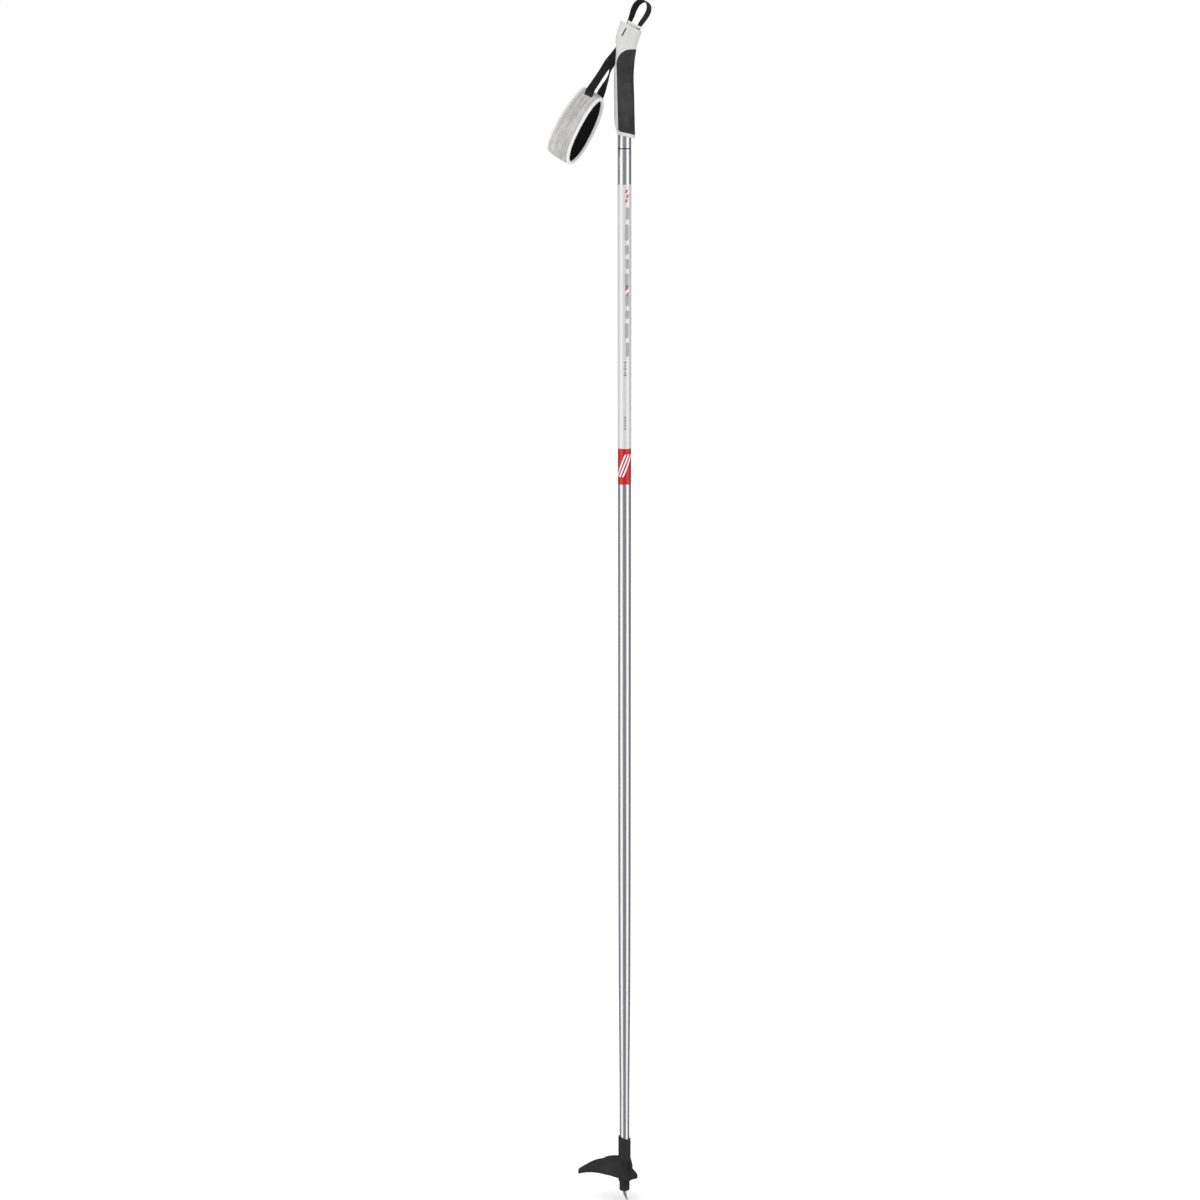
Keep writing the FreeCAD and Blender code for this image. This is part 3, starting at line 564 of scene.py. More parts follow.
# ---- grip
# Oval sections from the bottom up: middle x, height, half fore and aft, half across, lean in degrees.
GRIP_SECTIONS = np.array([
    (2.25, 1317.4, 10.3, 10.2, 12.1),
    (0.35, 1330.0, 11.6, 11.0, 5.0),
    (-0.35, 1358.0, 11.7, 11.3, 0.0),
    (-0.75, 1390.0, 11.4, 11.2, 0.0),
    (0.9, 1411.0, 11.6, 11.6, 8.0),
    (2.6, 1427.5, 13.2, 12.5, 19.0),
    (7.85, 1443.65, 13.8, 12.9, 27.4),
])
INSERT_TOP = 1417.4
INSERT_REAR = np.array([(-7.6, 1323.4), (-10.0, INSERT_TOP)])
INSERT_FRONT_LOW = np.array([25.0, 1315.6])
INSERT_FRONT_TOP = np.array([25.0, INSERT_TOP])
INSERT_TOP_ROUND = 17.0
INSERT_LOW_ROUND = 4.0
INSERT_ROLL, INSERT_PROUD, INSERT_DIVE, INSERT_DEPTH = 0.9, 0.22, 1.2, 1.5
PEBBLE_SIZE, PEBBLE_RISE = 1.9, 0.16


def grip_section(level):
    """Middle x, half fore, half side and lean (radians) of the grip's section at a level."""
    values = through(GRIP_SECTIONS[:, 1], GRIP_SECTIONS[:, [0, 2, 3, 4]], level)
    return values[..., 0], values[..., 1], values[..., 2], np.radians(values[..., 3])


def grip_shell(angle, level, out=0.0):
    """Points of the grip's outside; out moves them along the section's outward direction."""
    middle, fore, side, lean = grip_section(level)
    forward = (fore + out) * np.cos(angle)
    return xyz(middle + forward * np.cos(lean), (side + out) * np.sin(angle), level - forward * np.sin(lean))


def level_at(angle, height):
    """The level whose section passes through a real height at that angle."""
    level = np.array(height, float)
    for _ in range(8):
        _, fore, _, lean = grip_section(level)
        level = height + fore * np.cos(angle) * np.sin(lean)
    return level


def inside_insert(x, z):
    """Distance inside the insert's side outline, negative outside it."""
    rear_way = unit(INSERT_REAR[1] - INSERT_REAR[0])
    low_way = unit(INSERT_FRONT_LOW - INSERT_REAR[0])
    from_top = INSERT_TOP - z
    from_rear = (x - INSERT_REAR[0, 0]) * rear_way[1] - (z - INSERT_REAR[0, 1]) * rear_way[0]
    from_low = (z - INSERT_REAR[0, 1]) * low_way[0] - (x - INSERT_REAR[0, 0]) * low_way[1]
    inside = np.minimum(np.minimum(from_top, from_rear), from_low)
    for first, second, radius in ((from_top, from_rear, INSERT_TOP_ROUND),
                                  (from_rear, from_low, INSERT_LOW_ROUND)):
        at_corner = (first < radius) & (second < radius)
        rounded = radius - np.hypot(radius - first, radius - second)
        inside = np.where(at_corner, rounded, inside)
    return inside


# The slit in each side of the head, along the head and up from its top face, and the black block at its
# bottom that paints the slit's shade.
SLIT_ALONG = (-5.0, -3.5)
SLIT_RISE = (-15.1, -4.8)
SLIT_FLOOR = 7.4
SHADE_BLOCK_FACE = 11.2
SHADE_BLOCK_GAP = 0.05
GRIP_BORE, GRIP_BORE_TOP = 8.05, 1399.5
FOOT_ROUND = 0.8
HEAD_ROUND = 0.9
RECESS = 1.7
SLOT_HALF, SLOT_BOTTOM, SLOT_TOP = 4.0, 1399.3, 1424.0
CAVITY_LONG, CAVITY_WIDE, CAVITY_MOUTH = 7.3, 5.8, 0.5
CAVITY_DEPTHS = (6.0, 14.0, 22.0, 26.5)


def make_hard_grip(material):
    """Bore, foot, outside, rolled rim, top face and lock cavity as one skin; then slits and strap slot."""
    angle = full_turn(192)
    low, top = GRIP_SECTIONS[0, 1], GRIP_SECTIONS[-1, 1]
    rows = [circle(GRIP_BORE, z, angle) for z in (GRIP_BORE_TOP, 1365, 1335)]
    inner_foot = grip_shell(angle, low, -2 * FOOT_ROUND)
    rows += [circle(GRIP_BORE, inner_foot[:, 2] + FOOT_ROUND, angle), inner_foot]
    for turn in np.linspace(0.0, 1.0, 5) * math.pi / 2:
        level = low + FOOT_ROUND * (1 - math.cos(turn))
        rows.append(grip_shell(angle, level, FOOT_ROUND * (math.sin(turn) - 1)))
    for level in np.linspace(low + FOOT_ROUND, top - HEAD_ROUND, 150)[1:]:
        skin = grip_shell(angle, level)
        dip = RECESS * smoothstep(0.6, 1.5, inside_insert(skin[:, 0], skin[:, 2]))
        collar = 0.25 * np.exp(-((level - (low + 3.0)) / 1.4) ** 2)
        rows.append(grip_shell(angle, level, collar - dip))
    for turn in np.linspace(0.0, 1.0, 7)[1:] * math.pi / 2:
        level = top - HEAD_ROUND * (1 - math.sin(turn))
        rows.append(grip_shell(angle, level, HEAD_ROUND * (math.cos(turn) - 1)))
    head_long, head_wide = GRIP_SECTIONS[-1, 2:4] - HEAD_ROUND
    edge_along, edge_across = head_long * np.cos(angle), head_wide * np.sin(angle)
    squareness = 7.0
    reach = (np.abs(np.cos(angle) / CAVITY_LONG) ** squareness
             + np.abs(np.sin(angle) / CAVITY_WIDE) ** squareness) ** (-1 / squareness)
    hole_along, hole_across = LOCK_OFFSET + reach * np.cos(angle), reach * np.sin(angle)
    for step in (0.3, 0.65):
        rows.append(on_head(edge_along + (hole_along - edge_along) * step,
                            edge_across + (hole_across - edge_across) * step, 0.0))
    for turn in np.linspace(0, math.pi / 2, 4):
        grow = 1 + CAVITY_MOUTH * (1 - math.sin(turn)) / CAVITY_WIDE
        rows.append(on_head(LOCK_OFFSET + reach * np.cos(angle) * grow, hole_across * grow,
                            -CAVITY_MOUTH * (1 - math.cos(turn))))
    rows += [on_head(hole_along, hole_across, -depth) for depth in CAVITY_DEPTHS]
    grip = grid_piece("grip_hard", np.array(rows), material)
    slot = (-30.0, -SLOT_HALF, SLOT_BOTTOM), (1.5, SLOT_HALF, SLOT_TOP)
    cutters = [rounded_block("slot_cutter", *slot, 1.4)]
    for near, far in ((-20.0, -SLIT_FLOOR), (SLIT_FLOOR, 20.0)):
        corners = list(zip(SLIT_ALONG, (near, far), SLIT_RISE))
        cutters.append(rounded_block("slit_cutter", *corners, 0.6, HEAD_PLACE))
    cut_away(grip, cutters)
    settle(grip, 35.0)
    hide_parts("grip_core")
    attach(grip, "pole")


def make_slit_shade_blocks(material):
    """Black blocks shaped as the lock's spring catches, at the bottom of the slits in the head's sides:
    painted shade, dark where the slits are in shadow.
    """
    for side, name in ((-1, "near"), (1, "far")):
        reach = sorted((side * (SLIT_FLOOR + 2 * SHADE_BLOCK_GAP), side * SHADE_BLOCK_FACE))
        low, high = zip(SLIT_ALONG, reach, SLIT_RISE)
        low = (low[0] + SHADE_BLOCK_GAP, low[1], low[2] + SHADE_BLOCK_GAP)
        high = (high[0] - SHADE_BLOCK_GAP, high[1], high[2] - SHADE_BLOCK_GAP)
        # a black block as painted shade in the slit
        shade_block = rounded_block("slit_shade_block_" + name, low, high, 0.3, HEAD_PLACE, material)
        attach(settle(shade_block), "pole")


def insert_outline():
    """The insert's edge as (angle, height) pairs: from the front along the foot, up the rear, and back."""
    def angle_of(x, z):
        level = np.array(z, float)
        for _ in range(8):
            middle, fore, _, lean = grip_section(level)
            cos = np.clip((x - middle) / (fore * np.cos(lean)), -1, 1)
            level = z + fore * cos * np.sin(lean)
        return np.arccos(cos)

    low = rounded_corner(INSERT_FRONT_LOW, INSERT_REAR[0], INSERT_REAR[1], INSERT_LOW_ROUND, 10)
    top = rounded_corner(INSERT_REAR[0], INSERT_REAR[1], INSERT_FRONT_TOP, INSERT_TOP_ROUND, 34)
    slope = (INSERT_FRONT_LOW[1] - INSERT_REAR[0, 1]) / (INSERT_FRONT_LOW[0] - INSERT_REAR[0, 0])
    low_start, top_end = angle_of(*low[0]), angle_of(*top[-1])
    points = []
    for angle in np.linspace(0, low_start, 34)[:-1]:
        height = INSERT_FRONT_LOW[1]
        for _ in range(8):
            x = grip_shell(angle, level_at(angle, np.array(height)))[0]
            height = INSERT_REAR[0, 1] + slope * (x - INSERT_REAR[0, 0])
        points.append((angle, height))
    rear = np.linspace(low[-1], top[0], 96)[1:-1]
    points += [(angle_of(*p), p[1]) for p in (*low, *rear, *top)]
    points += [(angle, INSERT_TOP) for angle in np.linspace(top_end, 0, 18)[1:]]
    return np.array(points, float)


def make_soft_grip(material):
    """The rubber insert, ring by ring: plain inner face, rolled edge that dives into the grip, pebbles."""
    half = insert_outline()
    edge = np.concatenate([half, half[-2:0:-1] * (-1, 1)])
    spine = np.stack([0 * edge[:, 0], np.clip(edge[:, 1], 1343.0, 1392.0)], -1)
    mean_radius = 11.5
    roll = INSERT_ROLL / np.hypot((edge - spine)[:, 0] * mean_radius, (edge - spine)[:, 1])

    def ring(share, out, pebble=0.0):
        """One ring of the face, a share of the way from the spine to the edge."""
        angle, height = (spine + (edge - spine) * np.reshape(share, (-1, 1))).T
        level = level_at(angle, height)
        if pebble > 0:
            cell = np.array([noise.voronoi(Vector(p) / PEBBLE_SIZE)[0][:2] for p in grip_shell(angle, level)])
            out = out + pebble * PEBBLE_RISE * (np.clip((cell[:, 1] - cell[:, 0]) * 2.2, 0, 1) - 0.6)
        return grip_shell(angle, level, out)

    rings = [ring(share, -INSERT_DEPTH) for share in (0.0, 0.35, 0.7, 0.96)]
    for turn in np.linspace(0, math.pi / 2, 6):
        rings.append(ring(1 - roll * (1 - math.cos(turn)), INSERT_PROUD - INSERT_DIVE * (1 - math.sin(turn))))
    for share in np.linspace(1, 0, 58)[1:]:
        rings.append(ring(share * (1 - roll), INSERT_PROUD, min(1.0, (1 - share) * 12)))
    grip = grid_piece("grip_soft", np.array(rings), material, ends=False)
    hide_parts("grip_insert")
    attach(grip, "pole")


# ---- strap lock and pull loop
def make_wedge(material):
    """The lock's plate and blade, as the node has them, with moulded, rounded edges."""
    wedge = linked("wedge_plate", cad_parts["strap_wedge"].data.copy())
    coat(wedge.data, material)
    with editing(wedge.data) as work:
        bmesh.ops.dissolve_limit(work, angle_limit=math.radians(2), verts=work.verts, edges=work.edges)
    change = wedge.modifiers.new("round", "BEVEL")
    change.width = 0.45 * MM
    change.segments = 3
    change.limit_method = "ANGLE"
    change.angle_limit = math.radians(35)
    settle(apply_modifiers(wedge), 50.0)
    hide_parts("strap_wedge")
    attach(wedge, "wedge")


TAPE_WIDTH, TAPE_THICK, TAPE_RIBS = 10.0, 1.2, 7
TAPE_STEP = 0.5


def tape_profile():
    """The outline of woven tape cut across: ribbed faces and beaded edges, as (across, out) pairs."""
    share = np.linspace(-1, 1, 43)
    edge = np.sqrt(1 - np.clip((np.abs(share) - 0.94) / 0.06, 0, 1) ** 2)
    bead = 0.10 * np.exp(-((np.abs(share) - 0.9) / 0.05) ** 2)
    ribbed = 0.05 * np.cos(2 * math.pi * TAPE_RIBS * share)
    half = (TAPE_THICK / 2 - 0.08 + bead + ribbed) * (0.12 + 0.88 * edge)
    front = np.stack([share * TAPE_WIDTH / 2, half], -1)
    return np.concatenate([front, front[::-1] * (1, -1)])


def tape_along(name, centre, width_way, material):
    """Webbing along a line; its width follows width_way."""
    profile = tape_profile()
    along = unit(np.gradient(centre, axis=0))
    width = unit(width_way - along * (along * width_way).sum(-1, keepdims=True))
    face = np.cross(along, width)
    points = (centre[:, None] + width[:, None] * profile[:, 0, None] + face[:, None] * profile[:, 1, None])
    around = np.linalg.norm(np.diff(profile, axis=0), axis=1).mean()
    return grid_piece(name, points, material, pitch=(around, TAPE_STEP))


def dense(points, ways, step=TAPE_STEP, first=0, last=None):
    """A smooth line through given points, read every step, with the direction of the width beside it.
    first and last choose the stretch between two of the points."""
    points, ways = np.array(points, float), unit(np.array(ways, float))
    knots = np.concatenate([[0], np.cumsum(np.linalg.norm(np.diff(points, axis=0), axis=1))])
    start, stop = knots[first], knots[-1 if last is None else last]
    at = np.linspace(start, stop, int(round((stop - start) / step)) + 1)
    return through(knots, points, at), unit(through(knots, ways, at))


def make_pull_loop(material):
    """Webbing that rises from the wedge, opens into a round eye and comes back down."""
    twist = math.radians(-24.0)
    outline = [(-6.8, 0.2), (-6.9, 4.5), (-7.5, 11.0), (-8.7, 18.0), (-8.3, 25.2), (-5.0, 30.6), (0.4, 32.3),
               (5.4, 30.3), (8.5, 25.0), (8.9, 18.0), (7.8, 11.0), (6.9, 4.5), (6.8, 0.2)]
    turned = [(side * math.cos(twist), side * math.sin(twist), rise) for side, rise in outline]
    points = [on_head(LOCK_OFFSET + along, across, rise) for along, across, rise in turned]
    flat = -HEAD_ALONG * math.sin(twist) + ACROSS * math.cos(twist)
    skew = -(HEAD_ALONG * math.cos(twist) + ACROSS * math.sin(twist))
    curl = (0.0, -0.08, -0.22, -0.34, -0.36, -0.28, -0.22, -0.2, -0.18, -0.16, -0.12, -0.04, 0.0)
    centre, ways = dense(points, [flat + skew * part for part in curl])
    loop = tape_along("pull_loop_webbing", centre, ways, material)
    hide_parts("pull_loop")
    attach(loop, "wedge")


# ---- wrist cuff
CUFF_MIDDLE = np.array([-56.0, 0.0, 1330.0])
CUFF_HOLE = unit((0.795, -0.342, -0.501))
CUFF_SHORT = unit(np.cross(CUFF_HOLE, (0.442, -0.239, 0.8645)))
CUFF_LONG = np.cross(CUFF_SHORT, CUFF_HOLE)
HALF_LONG, HALF_SHORT = 43.0, 26.0
CUFF_ROUND = 223.0
CUFF_WALL = 4.2
RIM_WALL = 2.7
PATCHES = (math.radians(13.0), math.radians(-33.0))
PUFF_LIMIT = 1.1


def cuff_skin(turn, across, out):
    """Points of the cuff: turn round it from the top, across its band to the open rim, out from its face."""
    turn, across, out = (np.asarray(v, float)[..., None] for v in (turn, across, out))
    cos, sin = np.cos(turn), np.sin(turn)
    outward = unit(CUFF_LONG * cos / HALF_LONG + CUFF_SHORT * sin / HALF_SHORT)
    pinch = 1 - 0.06 * cos
    return (CUFF_MIDDLE + CUFF_LONG * HALF_LONG * cos + CUFF_SHORT * HALF_SHORT * pinch * sin
            + CUFF_HOLE * across + outward * out)


def cuff_half(turn):
    """Half the band's width: narrow at the top, wide at the heel of the hand."""
    return 13.9 - 1.3 * np.cos(turn)


def cuff_crown(turn, share):
    """The band's padded crown, and its dip under the two sewn ends."""
    dip = sum(np.exp(-((turn - patch) / 0.2) ** 4) for patch in PATCHES)
    return 0.9 * (1 - share**2) - 0.35 * dip * np.exp(-(share / 0.5) ** 4)


def cuff_inside(turn, share):
    """The lining's place: the wall is full in the middle of the band and sewn thin under the binding."""
    thinned = (CUFF_WALL - RIM_WALL) * smoothstep(0.4, 0.84, np.abs(share))
    return -CUFF_WALL + thinned + 0.3 * cuff_crown(turn, share)


def puff(rows, cols):
    """Relief of the padded band from a cloth simulation: air pressure against pinned rims and sewn channels.
    Two fields (rows by cols) of outward movement in millimetres, for the outer and the inner face."""
    turn = np.linspace(-math.pi, math.pi, rows, endpoint=False)[:, None]
    share = np.linspace(-1, 1, cols)[None, :]
    across = share * cuff_half(turn)
    outer = cuff_skin(turn + 0 * share, across, cuff_crown(turn, share))
    inner = cuff_skin(turn + 0 * share, across, cuff_inside(turn, share))
    start = np.concatenate([outer, inner[:, ::-1]], 1)
    pad = grid_piece("cuff_sim", start, None, closed_rows=True)
    pinned = pad.vertex_groups.new(name="pinned")
    held = []
    for row in range(rows):
        for col in range(cols):
            at_rim = col in (0, cols - 1)
            on_channel = col % 3 == 0 and row % 3 == (col // 3) % 3
            by_patch = min(abs(turn[row, 0] - patch) for patch in PATCHES) < 0.2
            if at_rim or on_channel or (by_patch and abs(share[0, col]) < 0.4):
                held += [row * 2 * cols + col, row * 2 * cols + 2 * cols - 1 - col]
    pinned.add(held, 1.0, "REPLACE")
    cloth = pad.modifiers.new("cloth", "CLOTH")
    cloth.settings.quality = 6
    cloth.settings.use_pressure = True
    cloth.settings.uniform_pressure_force = 4.0
    cloth.settings.effector_weights.gravity = 0.0
    cloth.settings.shrink_min = -0.05
    cloth.settings.vertex_group_mass = "pinned"
    cloth.collision_settings.use_collision = False
    scene = bpy.context.scene
    for n in range(1, 21):
        scene.frame_set(n)
    shape = pad.evaluated_get(bpy.context.evaluated_depsgraph_get()).data
    moved = np.array([v.co for v in shape.vertices]) / MM - start.reshape(-1, 3)
    scene.frame_set(1)
    bpy.data.objects.remove(pad)
    outward = unit(cuff_skin(turn + 0 * share, across, 1.0) - cuff_skin(turn + 0 * share, across, 0.0))
    moved = moved.reshape(rows, 2 * cols, 3)
    faces = moved[:, :cols], moved[:, :cols - 1:-1]
    return [np.clip((face * outward).sum(-1), -PUFF_LIMIT, PUFF_LIMIT) for face in faces]


def finer(field, rows, cols):
    """A periodic field of rows, read smoothly at more rows and columns."""
    around = np.concatenate([field[-2:], field, field[:3]])
    tall = through(np.arange(-2, len(field) + 3), around, np.arange(rows) * len(field) / rows)
    return through(np.arange(field.shape[1]), tall.T, np.linspace(0, field.shape[1] - 1, cols)).T


def ribs(turn, across, share):
    """Knitted channels along the band, a little uneven, and folds gathered between the two sewn ends."""
    sway = 0.5 * np.sin(3 * turn + 1.0) + 0.3 * np.sin(7 * turn)
    channel = np.abs(np.sin(math.pi * (across + sway) / 3.1)) ** 0.6
    fade = 0.75 + 0.25 * np.sin(5 * turn + across * 0.4)
    between = (turn - sum(PATCHES) / 2) / 0.36
    gather = np.exp(-between**4) * np.sin(across * 1.7 + 2.0 * turn)
    pulled = np.exp(-((turn - PATCHES[0] - 0.42) / 0.2) ** 2) * np.sin(across * 1.25 + 0.4)
    rim = smoothstep(0.90, 0.74, np.abs(share))
    return (0.75 * fade * (channel - 0.6) + 0.6 * gather + 0.5 * pulled) * rim


def band(name, rows, cols, top, bottom, material, share_limit=1.0):
    """A closed layer of the cuff between two relief fields given by functions of (turn, across, share)."""
    turn = np.linspace(-math.pi, math.pi, rows, endpoint=False)[:, None] + np.zeros((1, cols))
    share = np.zeros((rows, 1)) + np.linspace(-share_limit, share_limit, cols)[None, :]
    across = share * cuff_half(turn)
    upper = cuff_skin(turn, across, top(turn, across, share))
    lower = cuff_skin(turn, across, bottom(turn, across, share))
    points = np.concatenate([upper, lower[:, ::-1]], 1)
    pitch = (2 * HALF_SHORT / cols * 0.53, CUFF_ROUND / rows)
    return grid_piece(name, points, material, closed_rows=True, pitch=pitch)


def make_cuff(knit, lining, foam_grey, binding, seam_thread):
    outer_lift, inner_lift = puff(150, 22)
    rows, cols = 420, 72
    clear_of_rims = smoothstep(0.95, 0.78, np.abs(np.linspace(-1, 1, cols)))
    outside = finer(outer_lift, rows, cols) * clear_of_rims
    inside = 0.4 * finer(inner_lift, rows, cols) * clear_of_rims
    skin, liner = 0.9, 0.8

    def outer_face(turn, across, share):
        return cuff_crown(turn, share) + outside + ribs(turn, across, share)

    def inner_face(turn, across, share):
        return cuff_inside(turn, share) + inside

    fabric = band("cuff_fabric", rows, cols, outer_face, lambda *at: outer_face(*at) - skin, knit)
    inner = band("cuff_inner_cloth", rows, cols, lambda *at: inner_face(*at) + liner, inner_face, lining)
    pad = band("cuff_padding", rows, cols, lambda *at: outer_face(*at) - skin - 0.15,
               lambda *at: inner_face(*at) + liner + 0.15, foam_grey, share_limit=0.96)
    for thing, node, slot in ((fabric, "cuff_outer_fabric", "cuff_knit"),
                              (inner, "cuff_lining", "cuff_inner"),
                              (pad, "cuff_foam_pad", "cuff_foam")):
        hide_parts(node)
        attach(thing, "cuff")
    for side, name in ((1, "front"), (-1, "back")):
        make_binding(side, name, binding)
        make_rim_stitches(side, name, seam_thread)


BINDING_LEG = 2.5
BINDING_PROUD = 0.4
BINDING_GAP = RIM_WALL / 2 + 0.1


def make_binding(side, name, material):
    """Folded tape over one rim: a U whose legs lie on the fabric and on the lining."""
    rows = 420
    turn = np.linspace(-math.pi, math.pi, rows, endpoint=False)[:, None]
    bend = np.linspace(-math.pi / 2, math.pi / 2, 13)

    def shape(proud):
        """The U's outline as (in from the rim, out from the wall's middle)."""
        legs = np.linspace(-BINDING_LEG, -0.4, 7)
        ends = np.full(7, BINDING_GAP + proud)
        ends[0] -= 0.8 * proud
        turned_in = np.stack([np.cos(bend) * (0.5 + proud) - 0.2, -np.sin(bend) * (BINDING_GAP + proud)], -1)
        leg = np.stack([legs, ends], -1)
        return np.concatenate([leg, turned_in, leg[::-1] * (1, -1)])

    outline = np.concatenate([shape(BINDING_PROUD), shape(0.0)[::-1]])
    inward, out = outline[:, 0][None, :], outline[:, 1][None, :]
    pucker = 0.12 * np.sin(turn * 74) * np.exp(-((inward + 1.8) / 0.7) ** 2)
    wander = 0.25 * np.sin(turn * 5 + side) + 0.12 * np.sin(turn * 17)
    across = side * (cuff_half(turn) + inward + 0.3 + wander * 0.4)
    points = cuff_skin(turn + 0 * inward, across, out - RIM_WALL / 2 + 0.15 - np.sign(out) * pucker)
    thing = grid_piece("cuff_binding_" + name + "_tape", points, material, closed_rows=True,
                       pitch=(0.5, CUFF_ROUND / rows))
    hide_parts("cuff_binding_" + name)
    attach(thing, "cuff")


def stitch_line(points, normals, stitch=2.1, gap=0.8, radius=0.2):
    """Thread stitches along a line; each dives into the cloth at both ends. Returns points and faces."""
    lengths = np.concatenate([[0], np.cumsum(np.linalg.norm(np.diff(points, axis=0), axis=1))])
    starts = np.arange(gap / 2, lengths[-1] - stitch, stitch + gap)
    share = np.linspace(0, 1, 7)
    sides = 8
    verts, faces = [], []
    for start in starts:
        at = start + share * stitch
        middle = np.stack([np.interp(at, lengths, points[:, n]) for n in range(3)], -1)
        normal = unit(np.stack([np.interp(at, lengths, normals[:, n]) for n in range(3)], -1))
        along = unit(middle[-1] - middle[0])
        side = unit(np.cross(along, normal))
        swell = radius * (0.55 + 0.45 * np.sin(math.pi * share))
        middle = middle + normal * (radius * 2.0 * (np.sin(math.pi * share) - 0.5))[:, None]
        ring = rings_about(middle, side, normal, swell, full_turn(sides))
        base = len(verts) * len(share) * sides
        last = base + (len(share) - 1) * sides
        verts.append(ring.reshape(-1, 3))
        faces += (grid_faces(len(share), sides)[0] + base).tolist()
        faces += [list(range(base, base + sides))[::-1], list(range(last, last + sides))]
    return np.concatenate(verts), faces


def sewn(name, lines, material, body):
    """Several stitch lines as one piece."""
    verts, faces = [], []
    for points, normals in lines:
        more, quads = stitch_line(points, normals)
        base = sum(len(v) for v in verts)
        verts.append(more)
        faces += [[corner + base for corner in quad] for quad in quads]
    thing = settle(piece(name, np.concatenate(verts), faces, material), 60.0)
    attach(thing, body)


def make_rim_stitches(side, name, material):
    turn = np.linspace(-math.pi, math.pi, 700)
    across = side * (cuff_half(turn) - BINDING_LEG + 1.0)
    outward = cuff_skin(turn, across, 1.0) - cuff_skin(turn, across, 0.0)
    half_gap = BINDING_GAP + BINDING_PROUD
    middle = -RIM_WALL / 2 + 0.15
    lines = [(cuff_skin(turn, across, middle + half_gap), outward),
             (cuff_skin(turn, across, middle - half_gap), -outward)]
    sewn("cuff_stitches_" + name, lines, material, "cuff")


# ---- strap
TAPE_DROP = math.radians(53.6)
TAPE_RUN = np.array([-math.cos(TAPE_DROP), 0.0, -math.sin(TAPE_DROP)])
TAPE_UP = np.array([-math.sin(TAPE_DROP), 0.0, math.cos(TAPE_DROP)])
MOUTH = np.array([-12.2, 0.0, 1408.6])
SWING = np.array([-20.5, 0.0, 1397.1])
TAPE_SIDE = 2.8
TAPE_LIFT = 0.85
# Sewn ends on the cuff: the angle where each tape lands, its way round, and its place along the hole there.
LANDINGS = {-1: (2.0, 1, -3.4, 0.0), 1: (22.0, -1, 5.0, 5.0)}


def on_cuff(side, angle, lift, aside=0.0):
    """A point over the cuff's face along one tape's sewn end; angle counts on from where the tape lands."""
    first, way_round, start, end = LANDINGS[side]
    along = start + (end - start) * smoothstep(0.0, 21.0, angle) + aside
    return cuff_skin(way_round * np.radians(first + angle), along, lift)


def tape_route(side):
    """One strap tape from inside the grip to its sewn end: points, and directions of its width."""
    offset = ACROSS * TAPE_SIDE * side
    sewn_end = [on_cuff(side, angle, lift) for angle, lift in
                ((3.5, 2.6), (7.0, 1.35), (11.0, TAPE_LIFT + 0.15), (16.0, TAPE_LIFT), (21.0, TAPE_LIFT))]
    down = -CUFF_HOLE
    if side < 0:
        offset = offset + TAPE_UP * 1.0
        start = SWING + TAPE_RUN * 0.6 + offset
        way = on_cuff(side, 0.0, 4.6) - start
        points = [MOUTH - TAPE_RUN * 12 + offset - TAPE_UP, MOUTH + offset - TAPE_UP * 0.6,
                  MOUTH + TAPE_RUN * 7 + offset, start]
        points += [start + way * share for share in (0.22, 0.5, 0.84)]
        lean = TAPE_UP + ACROSS * 0.6
        ways = [TAPE_UP] * 3 + [TAPE_UP + ACROSS * 0.4, lean, lean, lean + down, down, down, down, down, down]
    else:
        points = [(-5.0, 2.8, 1414.0), (-12.4, 2.8, 1405.4), (-14.9, 2.9, 1400.0), (-16.2, 3.3, 1395.0),
                  (-17.6, 3.6, 1389.6), (-19.8, 3.4, 1383.2), (-24.4, 2.6, 1373.4)]
        ways = [TAPE_UP, TAPE_UP + ACROSS * 0.1, TAPE_UP + ACROSS * 0.9, ACROSS + TAPE_UP * 0.35,
                ACROSS + TAPE_UP * 0.1, ACROSS + down * 0.3, ACROSS * 0.7 + down] + [down] * 5
    return points + sewn_end, ways


def make_tapes(webbing, seam_thread):
    """Each tape is three lengths that meet where the tape rides rigidly, so that each crosses one joint."""
    cuts = (0, 2, 5, None)
    for side, name in ((-1, "near"), (1, "far")):
        points, ways = tape_route(side)
        for part, first, last in zip(("root", "middle", "end"), cuts[:-1], cuts[1:]):
            centre, width = dense(points, ways, TAPE_STEP, first, last)
            tape = tape_along("strap_%s_%s" % (name, part), centre, width, webbing)
            if part == "root":
                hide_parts("strap_inner_" + name, "strap_tail_" + name)
                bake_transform(tape)
            elif part == "middle":
                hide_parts("strap_tape_" + name)
                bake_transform(tape)
            else:
                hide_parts("tape_patch_" + name)
                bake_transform(tape)
        make_patch_stitches(side, name, seam_thread)


def make_patch_stitches(side, name, material):
    """A sewn box with a cross on each tape end."""
    low, high, half = 9.8, 19.8, 3.6
    corners = [(low, -half), (high, -half), (high, half), (low, half)]
    runs = [*zip(corners, corners[1:] + corners[:1]), (corners[0], corners[2]), (corners[1], corners[3])]
    share = np.linspace(0, 1, 12)
    lines = []
    for run in runs:
        angle, aside = (start + (end - start) * share for start, end in zip(*run))
        face = on_cuff(side, angle, TAPE_LIFT + 0.62 + 0 * share, aside)
        lines.append((face, on_cuff(side, angle, TAPE_LIFT + 1.62 + 0 * share, aside) - face))
    sewn("patch_stitches_" + name, lines, material, "cuff")


# ---- basket
def tube_along(points, material):
    """A round bar through points, thickest in its first half, closed at both ends."""
    centre, _ = dense(points, [ACROSS] * len(points), 0.6)
    radius = through(np.linspace(0, 1, len(RIDGE_RADII)), RIDGE_RADII, np.linspace(0, 1, len(centre)))
    along = unit(np.gradient(centre, axis=0))
    side = unit(np.cross(along, np.where(np.abs(along[:, 1:2]) > 0.8, UP, ACROSS)))
    other = np.cross(along, side)
    return grid_piece("bar", rings_about(centre, side, other, radius, full_turn(16)), material)


